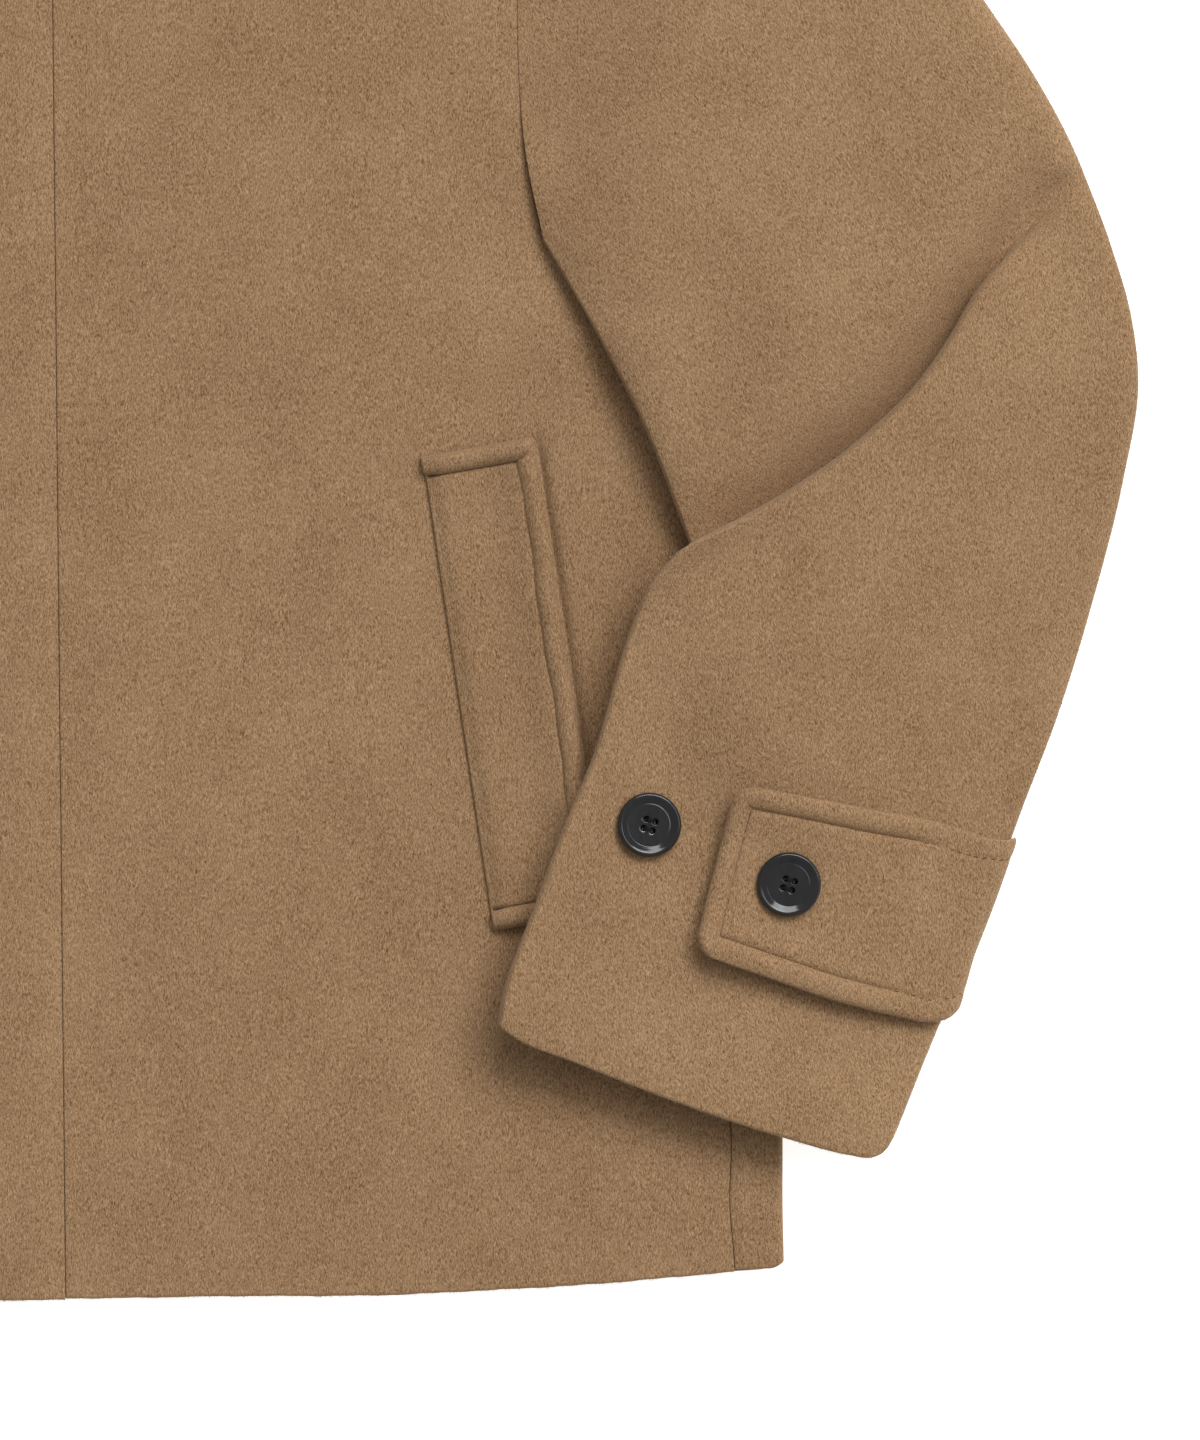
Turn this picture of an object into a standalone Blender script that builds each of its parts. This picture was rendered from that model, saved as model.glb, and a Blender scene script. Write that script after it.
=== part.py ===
"""A short mackintosh coat in brushed camel wool, buttoned and laid out flat on its back.

Metres, +Z up. In the tables x runs to the wearer's left, y from the hem to the collar, and z up from the
surface the coat lies on. Each piece that is cut and sewn is one object. The sleeves are bent at the elbow,
so each is two flattened tubes: the upper stretch, and the forearm that folds over it.
"""

import math

import bpy
import bmesh
import numpy as np

# Cloth and layers
CLOTH = 0.0024            # thickness of the brushed wool
DOUBLE = 0.0034           # pressed double cloth of the tabs and welts
SEAM = 0.0003             # gap between two pieces at a seam
REST = 0.0004             # gap between two layers that lie on each other
LOOSE = 0.0009            # gap under a sleeve, which lies more loosely
TAB_REST = 0.0012         # gap under a tab or a button on the sleeve's facets
EDGE_RADIUS = 0.0030      # a folded edge holds two layers of cloth
CROWN = 0.0018            # how far the fronts stand off the back away from their edges
CROWN_RUN = 0.060         # distance from an edge over which they do
SLOPE_RUN = 0.090         # distance over which a sleeve comes down from the body to the surface

# Body
LENGTH = 0.712            # hem to the top of the collar
SIDE_X = 0.2986           # folded side of the body
SIDE_SEAM_X = 0.280       # the back is brought forward to this seam
HEM_FLAT = 0.150          # the hem is level to here
HEM_RISE = 0.0086         # and rises this much to the side
UNDERARM = (0.280, 0.350)
SHOULDER = (0.250, 0.625)
NECK_POINT = (0.085, 0.682)
NECK_DEPTH = 0.092        # front neck below the neck point
BACK_NECK_Y = 0.664
BAND_SEAM_X = 0.037       # seam of the front band
FRONT_EDGE_X = -0.023     # folded edge of the left front, over the right one
LAP_RUN = 0.022           # distance over which the left front comes down off the right one
NECK_LIFT = 0.0033        # the back of the collar lies under the neck
NECK_LIFT_SIZE = (0.150, 0.060)

# Armhole seam, from the shoulder down and under the sleeve to the underarm: x, y
ARMHOLE = (
    (0.2500, 0.6250),
    (0.2320, 0.5900),
    (0.2180, 0.5500),
    (0.2095, 0.5100),
    (0.2065, 0.4710),
    (0.2069, 0.4380),
    (0.2091, 0.4132),
    (0.2150, 0.3837),
)
ARMHOLE_HIDDEN = (
    (0.2150, 0.3837),
    (0.2290, 0.3680),
    (0.2520, 0.3560),
    (0.2800, 0.3500),
)

BACK_HIDDEN = (
    (0.2956, 0.3510),
    (0.2700, 0.3600),
    (0.2400, 0.3700),
    (0.2150, 0.3837),
)

# Upper sleeve: outer edge from the shoulder to the elbow fold, inner edge and hidden fold: x, y
UPPER_OUTER = (
    (0.2508, 0.6250),
    (0.2850, 0.5890),
    (0.3180, 0.5500),
    (0.3480, 0.5110),
    (0.3763, 0.4694),
    (0.3953, 0.4401),
    (0.4080, 0.4165),
)
UPPER_INNER = (
    (0.2158, 0.3837),
    (0.2329, 0.3512),
    (0.2529, 0.3103),
    (0.2663, 0.2741),
    (0.2800, 0.2400),
    (0.2940, 0.2120),
)
UPPER_END = (
    (0.4080, 0.4165),
    (0.3930, 0.3940),
    (0.3745, 0.3672),
    (0.3560, 0.3300),
    (0.3330, 0.2750),
    (0.3110, 0.2330),
    (0.2940, 0.2120),
)
# Part of the upper sleeve that the forearm covers: x, y
COVERED = (
    (0.3600, 0.3440),
    (0.3182, 0.3016),
    (0.2900, 0.2833),
    (0.2663, 0.2730),
    (0.2800, 0.2400),
    (0.2940, 0.2120),
    (0.3110, 0.2330),
    (0.3330, 0.2750),
    (0.3560, 0.3300),
)
COVER_RUN = 0.040         # distance over which the forearm comes down off the upper sleeve

# Forearm: elbow fold, cuff, outer edge and inner edge: x, y
FORE_FOLD = (
    (0.4083, 0.4160),
    (0.3950, 0.3960),
    (0.3750, 0.3668),
    (0.3610, 0.3440),
    (0.3461, 0.3249),
    (0.3182, 0.3016),
    (0.2900, 0.2833),
    (0.2663, 0.2730),
)
FORE_CUFF = (
    (0.3355, 0.0495),
    (0.3230, 0.0504),
    (0.2987, 0.0567),
    (0.2693, 0.0665),
    (0.2425, 0.0768),
    (0.2224, 0.0850),
    (0.2037, 0.0926),
    (0.1952, 0.0985),
)
FORE_OUTER = (
    (0.4083, 0.4160),
    (0.4209, 0.3817),
    (0.4289, 0.3525),
    (0.4310, 0.3310),
    (0.4251, 0.2943),
    (0.4137, 0.2508),
    (0.3998, 0.2073),
    (0.3865, 0.1735),
    (0.3740, 0.1395),
    (0.3600, 0.1058),
    (0.3500, 0.0825),
    (0.3417, 0.0624),
    (0.3355, 0.0495),
)
FORE_INNER = (
    (0.2663, 0.2730),
    (0.2523, 0.2580),
    (0.2460, 0.2440),
    (0.2302, 0.1938),
    (0.2215, 0.1735),
    (0.2096, 0.1427),
    (0.1970, 0.1079),
    (0.1952, 0.0985),
)
FORE_LENGTH_OUTER = 0.385
FORE_LENGTH_INNER = 0.200
SLEEVE_FULLNESS = 0.0007  # extra half thickness in the middle of a sleeve

# Trim on the forearm and the front: corners x, y
TAB_CORNERS = {
    "top_end": (0.2843, 0.1855),
    "bottom_end": (0.2655, 0.1251),
    "top_edge": (0.3815, 0.1620),
    "bottom_edge": (0.3580, 0.1000),
}
TAB_ROUND = 0.007         # corner radius of the tab's end
TAB_WRAP = math.radians(-18)
WELT_OUTLINE = (
    (0.1702, 0.3053),
    (0.1942, 0.1326),
    (0.2345, 0.1395),
    (0.2107, 0.3120),
)
WELT_RUN = 0.060          # distance over which the forearm comes down off the welt
BUTTON_ON_SLEEVE = (0.2508, 0.1707)
BUTTON_ON_TAB = (0.3010, 0.1490)

# Turned four-hole button: radius, height of its half section
BUTTON_PROFILE = (
    (0.0000, 0.0000),
    (0.0080, 0.0000),
    (0.0110, 0.0012),
    (0.0117, 0.0024),
    (0.0110, 0.0035),
    (0.0096, 0.0037),
    (0.0080, 0.0027),
    (0.0000, 0.0023),
)
BUTTON_HOLE_RADIUS = 0.0011
BUTTON_HOLE_STEP = 0.00168
BUTTON_TURN = math.radians(-18)

# Collar in halves, each row one section: neck seam x, y, roll x, y, free edge x, y
COLLAR_FRONT = (
    (0.0016, 0.5914, 0.0016, 0.6130, 0.0560, 0.5330),
    (0.0225, 0.5945, 0.0225, 0.6175, 0.0770, 0.5440),
    (0.0428, 0.6038, 0.0425, 0.6275, 0.0960, 0.5610),
    (0.0596, 0.6202, 0.0588, 0.6430, 0.1110, 0.5830),
    (0.0724, 0.6390, 0.0705, 0.6615, 0.1230, 0.6100),
    (0.0795, 0.6605, 0.0775, 0.6800, 0.1330, 0.6380),
    (0.0828, 0.6830, 0.0815, 0.6965, 0.1400, 0.6650),
)
COLLAR_BACK = (
    (0.0000, 0.6652, 0.0000, 0.7108, 0.0000, 0.6500),
    (0.0290, 0.6668, 0.0290, 0.7099, 0.0410, 0.6510),
    (0.0550, 0.6715, 0.0540, 0.7067, 0.0810, 0.6535),
    (0.0730, 0.6775, 0.0715, 0.7020, 0.1090, 0.6575),
    (0.0805, 0.6820, 0.0785, 0.6978, 0.1280, 0.6600),
)
COLLAR_TURN = 0.0020      # half the height between the collar's two layers, at mid cloth
COLLAR_OVER = 0.0045      # the front half bends down past the shoulder by this much

WOOL_COLOUR = (0.31, 0.195, 0.105, 1.0)
BUTTON_COLOUR = (0.035, 0.036, 0.038, 1.0)


# Curves and patches

def smooth(t):
    """Eased step from 0 to 1 as t goes from 0 to 1."""
    t = np.clip(t, 0.0, 1.0)
    return t * t * (3.0 - 2.0 * t)


def spans(points):
    """Fraction of the whole chord length at each point."""
    steps = np.linalg.norm(np.diff(points, axis=0), axis=1)
    length = np.concatenate([[0.0], np.cumsum(steps)])
    return length / length[-1]


def curve(table):
    """Smooth curve through a table's rows, as a function of t from 0 to 1."""
    rows = np.array(table, float)
    knots = spans(rows)
    slopes = np.gradient(rows, knots, axis=0)

    def at(t):
        t = np.asarray(t, float)
        i = np.clip(np.searchsorted(knots, t, side="right") - 1, 0, len(rows) - 2)
        run = (knots[i + 1] - knots[i])[..., None]
        f = (t - knots[i])[..., None] / run
        start = (1 + 2 * f) * (1 - f) ** 2 * rows[i] + f * (1 - f) ** 2 * run * slopes[i]
        end = f * f * (3 - 2 * f) * rows[i + 1] - f * f * (1 - f) * run * slopes[i + 1]
        return start + end

    return at


def line(start, end):
    """Straight line from start to end, as a function of t from 0 to 1."""
    start = np.array(start, float)
    run = np.array(end, float) - start
    return lambda t: start + np.asarray(t, float)[..., None] * run


def joined(first, second, share):
    """The first curve up to t = share, and the second curve from there."""

    def at(t):
        t = np.asarray(t, float)
        early = first(np.clip(t / share, 0, 1))
        late = second(np.clip((t - share) / (1 - share), 0, 1))
        return np.where((t < share)[..., None], early, late)

    return at


def patch(low, high, left, right):
    """Plan of a panel between four edge curves: low and high in u, left and right in v."""

    def at(u, v):
        u, v = np.broadcast_arrays(np.asarray(u, float), np.asarray(v, float))
        a, b = u[..., None], v[..., None]
        ruled = (1 - b) * low(u) + b * high(u) + (1 - a) * left(v) + a * right(v)
        ends = (1 - b) * ((1 - a) * low(0.0) + a * low(1.0)) + b * ((1 - a) * high(0.0) + a * high(1.0))
        return ruled - ends

    return at


def locate(plan, point):
    """The u and v at which a plan passes through a point, by Newton's steps."""
    at = np.array([0.5, 0.5])
    for _ in range(20):
        here = plan(at[0], at[1])
        along_u = (plan(at[0] + 1e-4, at[1]) - here) / 1e-4
        along_v = (plan(at[0], at[1] + 1e-4) - here) / 1e-4
        at = at + np.linalg.solve(np.column_stack([along_u, along_v]), np.array(point) - here)
    return at


def outside(points, outline):
    """How far each point lies outside a closed outline, 0 within it."""
    a = np.array(outline, float)
    edge = np.roll(a, -1, axis=0) - a
    p = points[..., None, :]
    t = np.clip(((p - a) * edge).sum(-1) / (edge ** 2).sum(-1), 0, 1)
    gap = np.linalg.norm(p - a - t[..., None] * edge, axis=-1).min(-1)
    crossed = (a[:, 1] > p[..., 1]) != (a[:, 1] + edge[:, 1] > p[..., 1])
    rise = np.where(edge[:, 1] == 0, 1e-9, edge[:, 1])
    x_cross = a[:, 0] + (p[..., 1] - a[:, 1]) * edge[:, 0] / rise
    within = (crossed & (p[..., 0] < x_cross)).sum(-1) % 2 == 1
    return np.where(within, 0.0, gap)


# Sharing of points between the body and the sleeves

SIDE_SHARE = 0.55         # a body panel's rows up to the underarm
HIDDEN_SHARE = 0.16       # and of the rest, those along the hidden armhole
EDGE_TURN = np.radians([-90, -45, 0, 45, 90])
ACROSS = np.linspace(0, 1, 9)[1:-1]


def ring(width):
    """Round a flattened tube: w across the sleeve, and the height from -1 under to 1 on top."""
    width = np.asarray(width, float)[..., None]
    inset = EDGE_RADIUS * (1 - np.cos(EDGE_TURN)) / width
    first = EDGE_RADIUS / width
    middle = first + (1 - 2 * first) * ACROSS
    w = np.concatenate([inset, middle, 1 - inset, middle[..., ::-1]], axis=-1)
    side = np.sin(EDGE_TURN)
    lift = np.concatenate([side, np.ones(len(ACROSS)), side[::-1], -np.ones(len(ACROSS))])
    return w, lift


ARMHOLE_ROWS = ring(math.dist(ARMHOLE[0], ARMHOLE[-1]))[0][4:13]
ARMHOLE_ROWS[0], ARMHOLE_ROWS[-1] = 0.0, 1.0


# Heights of the layers

def hem(x):
    """Height of the hem at x."""
    return HEM_RISE * np.clip((np.abs(x) - HEM_FLAT) / (SIDE_X - HEM_FLAT), 0, 1) ** 1.5


ARMHOLE_UP = np.concatenate([np.array(ARMHOLE_HIDDEN)[::-1], np.array(ARMHOLE)[::-1][1:]])
BODY_OUTLINE = np.concatenate([
    [(-0.1, -0.02), (SIDE_X, -0.02), (SIDE_X, UNDERARM[1])],
    np.array(ARMHOLE_HIDDEN)[::-1],
    [(0.1, 0.39), (-0.1, 0.39)],
])


def neck_lift(p):
    """The neck stands up off the surface, over the back of the collar."""
    reach = np.hypot(p[..., 0] / NECK_LIFT_SIZE[0], (p[..., 1] - 0.690) / NECK_LIFT_SIZE[1])
    return NECK_LIFT * smooth((1.6 - reach) / 0.6)


def lap(x):
    """The left front stands up off the right one where it laps over it."""
    return (CLOTH + REST) * (1 - smooth((np.abs(x) + FRONT_EDGE_X - SEAM) / LAP_RUN))


def front_under(p):
    """Underside of the fronts where they lie on the back."""
    x, y = np.abs(p[..., 0]), p[..., 1]
    shoulder_run = (SHOULDER[0] - NECK_POINT[0], SHOULDER[1] - NECK_POINT[1])
    shoulder_y = NECK_POINT[1] + (x - NECK_POINT[0]) * shoulder_run[1] / shoulder_run[0]
    armhole_x = np.interp(y, ARMHOLE_UP[:, 1], ARMHOLE_UP[:, 0])
    reach = np.minimum(np.minimum(armhole_x - x, y - hem(x)), shoulder_y - y)
    flat = 2 * EDGE_RADIUS - CLOTH
    return flat + CROWN * smooth(reach / CROWN_RUN) + 1.15 * neck_lift(p)


def over_body(p):
    """Support under the upper sleeve: the body, then the surface outside it."""
    top = front_under(p) + CLOTH + LOOSE
    return top * smooth(1 - outside(p, BODY_OUTLINE) / SLOPE_RUN)


def over_all(p):
    """Support under the forearm: the body, the welt and the covered end of the upper sleeve."""
    welt = (DOUBLE + REST) * smooth(1.05 - outside(p, WELT_OUTLINE) / WELT_RUN)
    sleeve = 2 * (EDGE_RADIUS + SLEEVE_FULLNESS) + LOOSE
    covered = sleeve * smooth(1.08 - outside(p, COVERED) / COVER_RUN)
    return over_body(p) + np.maximum(welt, covered)


# Building

def clear_scene():
    """Remove every object that is already there."""
    for old in list(bpy.data.objects):
        bpy.data.objects.remove(old)


def material(name, colour, roughness):
    """Plain material with a base colour and a roughness."""
    made = bpy.data.materials.new(name)
    made.use_nodes = True
    shader = made.node_tree.nodes["Principled BSDF"]
    shader.inputs["Base Color"].default_value = colour
    shader.inputs["Roughness"].default_value = roughness
    return made


def add(name, mesh, finish):
    """Put a mesh into the coat's collection under its parent."""
    made = bpy.data.objects.new(name, mesh)
    COAT.objects.link(made)
    made.parent = LAID
    mesh.materials.append(finish)
    return made


def wall(name, grid, thickness, side=1, around=False, inward=False):
    """Cloth wall on a grid of points: open surface, then Solidify. Side -1 mirrors it, and nan leaves out."""
    rows, columns = grid.shape[:2]
    points = grid.reshape(-1, 3) * (side, 1, 1)
    present = ~np.isnan(points).any(axis=1)
    i, j = np.meshgrid(np.arange(rows - 1), np.arange(columns if around else columns - 1), indexing="ij")
    k = (j + 1) % columns
    faces = np.stack([i * columns + j, i * columns + k, (i + 1) * columns + k, (i + 1) * columns + j], -1)
    faces = faces.reshape(-1, 4)
    faces = (np.cumsum(present) - 1)[faces[present[faces].all(axis=1)]]
    if side < 0:
        faces = faces[:, ::-1]
    mesh = bpy.data.meshes.new(name)
    mesh.from_pydata(points[present].tolist(), [], faces.tolist())
    shape = bmesh.new()
    shape.from_mesh(mesh)
    bmesh.ops.remove_doubles(shape, verts=shape.verts, dist=1e-6)
    shape.to_mesh(mesh)
    shape.free()
    made = add(name, mesh, WOOL)
    solid = made.modifiers.new("thickness", "SOLIDIFY")
    solid.thickness = thickness
    solid.offset = -1.0 if inward else 1.0
    return made


def raised(plan_points, height):
    """Plan points with their heights."""
    height = np.broadcast_to(height, plan_points.shape[:-1])
    return np.concatenate([plan_points, height[..., None]], axis=-1)


def body_side(side_x, side_top, hidden):
    """Edge of a body panel: up the side, along the hidden armhole, and up the armhole to the shoulder."""
    low = line((side_x, hem(side_x)), (side_x, side_top))
    arm = joined(curve(hidden), curve(ARMHOLE[::-1]), HIDDEN_SHARE)
    return joined(low, arm, SIDE_SHARE)


def body_rows():
    """Rows of a body panel: up the side, along the hidden armhole, up the armhole on the sleeve's points."""
    hidden = np.linspace(0, HIDDEN_SHARE, 3, endpoint=False)
    arm = HIDDEN_SHARE + (1 - HIDDEN_SHARE) * (1 - ARMHOLE_ROWS[::-1])
    late = np.concatenate([hidden, arm])
    early = np.linspace(0, SIDE_SHARE, 9, endpoint=False)
    return np.concatenate([early, SIDE_SHARE + (1 - SIDE_SHARE) * late])


def with_corner(share, before, after):
    """Rows from 0 to 1 with one at the share where an edge turns a corner."""
    return np.concatenate([np.linspace(0, share, before, endpoint=False), np.linspace(share, 1, after)])


# Back panel, folded forward at the sides as far as the side seams

def hem_curve(x_from, x_to):
    """Hem between two values of x."""

    def at(t):
        x = x_from + (x_to - x_from) * np.asarray(t, float)
        return np.stack([x, hem(x)], axis=-1)

    return at


def back_neck(t):
    """Back neck seam from the centre to the neck point."""
    x = NECK_POINT[0] * np.asarray(t, float)
    return np.stack([x, BACK_NECK_Y + (NECK_POINT[1] - BACK_NECK_Y) * np.asarray(t, float) ** 2.4], axis=-1)


def build_back():
    """Half the back as a patch, with extra columns that turn up round the side, then mirrored."""
    fold_x = SIDE_X - EDGE_RADIUS
    fold_top = UNDERARM[1] + 0.001
    neck_share = 0.34
    u = with_corner(neck_share, 5, 6)
    v = body_rows()
    plan = patch(
        hem_curve(0, fold_x),
        joined(back_neck, line(NECK_POINT, SHOULDER), neck_share),
        line((0, 0), (0, BACK_NECK_Y)),
        body_side(fold_x, fold_top, BACK_HIDDEN),
    )
    flat = plan(u[None, :], v[:, None])
    flat = raised(flat, neck_lift(flat))
    turn = np.radians([30, 60, 90, 120, 150, 180])
    wrap_x = np.concatenate([EDGE_RADIUS * np.sin(turn), [-0.005, SIDE_SEAM_X + SEAM / 2 - fold_x]])
    wrap_z = np.concatenate([EDGE_RADIUS * (1 - np.cos(turn)), [2 * EDGE_RADIUS] * 2])
    wrap = np.repeat(flat[:, -1:], len(wrap_x), axis=1)
    wrap[..., 0] += wrap_x
    wrap[..., 2] += wrap_z
    wrap[v > SIDE_SHARE + 1e-9] = np.nan
    half = np.concatenate([flat, wrap], axis=1)
    other = half[:, :0:-1] * (-1, 1, 1)
    wall("back", np.concatenate([other, half], axis=1)[::-1], CLOTH, inward=True)


# Fronts and the front band

def neck_curve(x_from, x_to):
    """Front neck seam between two values of x."""
    a, b = (math.asin(x / NECK_POINT[0]) for x in (x_from, x_to))

    def at(t):
        angle = a + (b - a) * np.asarray(t, float)
        return np.stack([NECK_POINT[0] * np.sin(angle), NECK_POINT[1] - NECK_DEPTH * np.cos(angle)], axis=-1)

    return at


def front_plan(x_from, neck_share):
    """Plan of a front from x_from to the side seam and the armhole."""
    neck = neck_curve(x_from, NECK_POINT[0])
    return patch(
        hem_curve(x_from, SIDE_SEAM_X - SEAM / 2),
        joined(neck, line(NECK_POINT, SHOULDER), neck_share),
        line((x_from, 0), neck(0.0)),
        body_side(SIDE_SEAM_X - SEAM / 2, UNDERARM[1], ARMHOLE_HIDDEN[::-1]),
    )


def build_fronts():
    """Left front and its band over the right front's edge."""
    v = body_rows()[:, None]
    left = front_plan(BAND_SEAM_X + SEAM / 2, 0.34)(with_corner(0.34, 5, 6)[None, :], v)
    wall("front_left", raised(left, front_under(left) + lap(left[..., 0])), CLOTH)
    right = front_plan(FRONT_EDGE_X, 0.42)(with_corner(0.42, 7, 6)[None, :], v)
    wall("front_right", raised(right, front_under(right)), CLOTH, side=-1)
    x_to = BAND_SEAM_X - SEAM / 2
    neck = neck_curve(FRONT_EDGE_X, x_to)
    band_plan = patch(
        hem_curve(FRONT_EDGE_X, x_to), neck, line((FRONT_EDGE_X, 0), neck(0.0)), line((x_to, 0), neck(1.0))
    )
    band = band_plan(np.linspace(0, 1, 7)[None, :], np.linspace(0, 1, 14)[:, None])
    wall("front_band_left", raised(band, front_under(band) + lap(band[..., 0])), CLOTH)


# Sleeves

def fullness(w):
    """Half the thickness of a flattened sleeve across its width."""
    return EDGE_RADIUS + SLEEVE_FULLNESS * np.sin(np.pi * np.clip(w, 0, 1))


UPPER_PLAN = patch(
    lambda t: curve(ARMHOLE)(t) + (0.0008, 0), curve(UPPER_END), curve(UPPER_OUTER), curve(UPPER_INNER)
)
FORE_PLAN = patch(curve(FORE_FOLD), curve(FORE_CUFF), curve(FORE_OUTER), curve(FORE_INNER))


def ring_width(plan, s):
    """Straight width of a sleeve at s."""
    return np.linalg.norm(plan(0.0, s) - plan(1.0, s), axis=-1)


def build_upper(name, side):
    """Upper sleeve, from the armhole to the end that the forearm covers."""
    s = np.linspace(0, 1, 15)
    w, lift = ring(ring_width(UPPER_PLAN, s))
    plan = UPPER_PLAN(w, s[:, None])
    grid = raised(plan, over_body(plan) + fullness(w) * (1 + lift))
    wall(name, grid, CLOTH, side, around=True, inward=True)


def build_forearm(name, side):
    """Forearm, from its rounded elbow fold to the open cuff."""
    nose = np.radians([0, 30, 60])
    rest = np.linspace(0, 1, 15)
    s_mid = np.concatenate([np.zeros(len(nose)), rest])
    w, lift = ring(ring_width(FORE_PLAN, s_mid))
    length = FORE_LENGTH_OUTER + (FORE_LENGTH_INNER - FORE_LENGTH_OUTER) * w
    start = EDGE_RADIUS / length
    into = EDGE_RADIUS * (1 - np.cos(nose))[:, None] / length[:len(nose)]
    s = np.concatenate([into, start[len(nose):] + (1 - start[len(nose):]) * rest[:, None]])
    puff = np.concatenate([np.sin(nose), np.ones(len(rest))])[:, None]
    plan = FORE_PLAN(w, s)
    grid = raised(plan, over_all(plan) + fullness(w) * (1 + lift * puff))
    wall(name, grid, CLOTH, side, around=True, inward=True)


def fore_top(w, s):
    """Points on the top of the forearm."""
    plan = FORE_PLAN(w, s)
    return raised(plan, over_all(plan) + 2 * fullness(w))


# Tabs, welts and buttons

def build_tab(name, side):
    """Tab made from the forearm's top points, turned down round the sleeve's outer edge."""
    top_end, bottom_end, top_edge, bottom_edge = (
        locate(FORE_PLAN, TAB_CORNERS[k]) for k in ("top_end", "bottom_end", "top_edge", "bottom_edge")
    )
    b = np.array([0.0, 0.04, 0.12, 0.31, 0.5, 0.69, 0.88, 0.96, 1.0])[:, None]
    a = np.linspace(0, 1, 11)[None, :]
    tab_width = np.linalg.norm(np.subtract(TAB_CORNERS["top_end"], TAB_CORNERS["bottom_end"]))
    from_corner = np.minimum(b, 1 - b) * tab_width
    cut = TAB_ROUND - np.sqrt(np.maximum(TAB_ROUND ** 2 - np.maximum(TAB_ROUND - from_corner, 0) ** 2, 0))
    s_end = top_end[1] + (bottom_end[1] - top_end[1]) * b
    s_edge = top_edge[1] + (bottom_edge[1] - top_edge[1]) * b
    width = ring_width(FORE_PLAN, (s_end + s_edge) / 2)
    w_end = top_end[0] + (bottom_end[0] - top_end[0]) * b - cut / width
    w_edge = EDGE_RADIUS / width
    w = w_end + (w_edge - w_end) * a
    s = s_end + (s_edge - s_end) * a
    flat = fore_top(w, s) + (0, 0, TAB_REST)
    turn = np.radians([65, 40, 15]).tolist() + [TAB_WRAP]
    edge = flat[:, -1]
    outward = FORE_PLAN(w_edge[:, 0], s_edge[:, 0]) - FORE_PLAN(w_edge[:, 0] + 0.05, s_edge[:, 0])
    outward /= np.linalg.norm(outward, axis=-1)[:, None]
    radius = EDGE_RADIUS + TAB_REST
    wrap = np.repeat(edge[:, None], len(turn), axis=1)
    wrap[..., :2] += outward[:, None] * (radius * np.cos(turn))[None, :, None]
    wrap[..., 2] -= radius * (1 - np.sin(turn))
    grid = np.concatenate([flat, wrap], axis=1)
    wall(name, grid[::-1], DOUBLE, side)


def build_welt(name, side):
    """Pocket welt made from the front's points, moved out."""
    a, b, c, d = np.array(WELT_OUTLINE)
    plan = patch(line(b, c), line(a, d), line(b, a), line(c, d))
    points = plan(np.linspace(0, 1, 4)[None, :], np.linspace(0, 1, 10)[:, None])
    wall(name, raised(points, front_under(points) + CLOTH + SEAM), DOUBLE, side)


def build_button(name, side, point, base):
    """Turned button with four holes, set square to the cloth under it."""
    w, s = locate(FORE_PLAN, point)
    here = fore_top(w, s)
    along = fore_top(w, s + 0.02) - fore_top(w, s - 0.02)
    across = fore_top(w - 0.04, s) - fore_top(w + 0.04, s)
    normal = np.cross(along, across)
    normal *= np.sign(normal[2]) / np.linalg.norm(normal)
    near = fore_top(w + np.linspace(-0.07, 0.07, 7)[:, None], s + np.linspace(-0.04, 0.04, 7)[None, :])
    clear = ((near - here) @ normal).max()
    centre = (here + normal * (base + REST + clear)) * (side, 1, 1)
    mesh = bpy.data.meshes.new(name)
    mesh.from_pydata([(r, 0, z) for r, z in BUTTON_PROFILE],
                     [(k, k + 1) for k in range(len(BUTTON_PROFILE) - 1)], [])
    made = add(name, mesh, HORN)
    turned = made.modifiers.new("turned", "SCREW")
    turned.steps = 20
    turned.render_steps = 20
    turned.use_merge_vertices = True
    turned.merge_threshold = 1e-6
    turned.use_normal_calculate = True
    drills = bpy.data.meshes.new(name + "_holes")
    tool = bmesh.new()
    away = BUTTON_HOLE_STEP * math.sqrt(2)
    hole = BUTTON_HOLE_RADIUS
    for k in range(4):
        angle = BUTTON_TURN + (k + 0.5) * math.pi / 2
        place = (away * math.cos(angle), away * math.sin(angle), 0)
        ends = bmesh.ops.create_cone(
            tool, cap_ends=True, segments=8, radius1=hole, radius2=hole, depth=0.02
        )
        bmesh.ops.translate(tool, verts=ends["verts"], vec=place)
    tool.to_mesh(drills)
    tool.free()
    drill = bpy.data.objects.new(name + "_holes", drills)
    cut = made.modifiers.new("holes", "BOOLEAN")
    cut.operation = "DIFFERENCE"
    cut.object = drill
    made.location = centre
    made.rotation_euler = (-math.asin(normal[1]), math.atan2(normal[0] * side, normal[2]), 0)
    apply_modifiers(made)
    bpy.data.objects.remove(drill)


def apply_modifiers(made):
    """Replace the mesh by what its modifiers make of it."""
    shaped = made.evaluated_get(bpy.context.evaluated_depsgraph_get())
    mesh = bpy.data.meshes.new_from_object(shaped)
    made.modifiers.clear()
    made.data = mesh


# Collar, in two front halves and the back

def collar_sections(table, n):
    """Neck seam, roll and free edge at n places along a table of sections."""
    rows = curve(table)(np.linspace(0, 1, n))
    return rows[:, 0:2], rows[:, 2:4], rows[:, 4:6]


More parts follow.
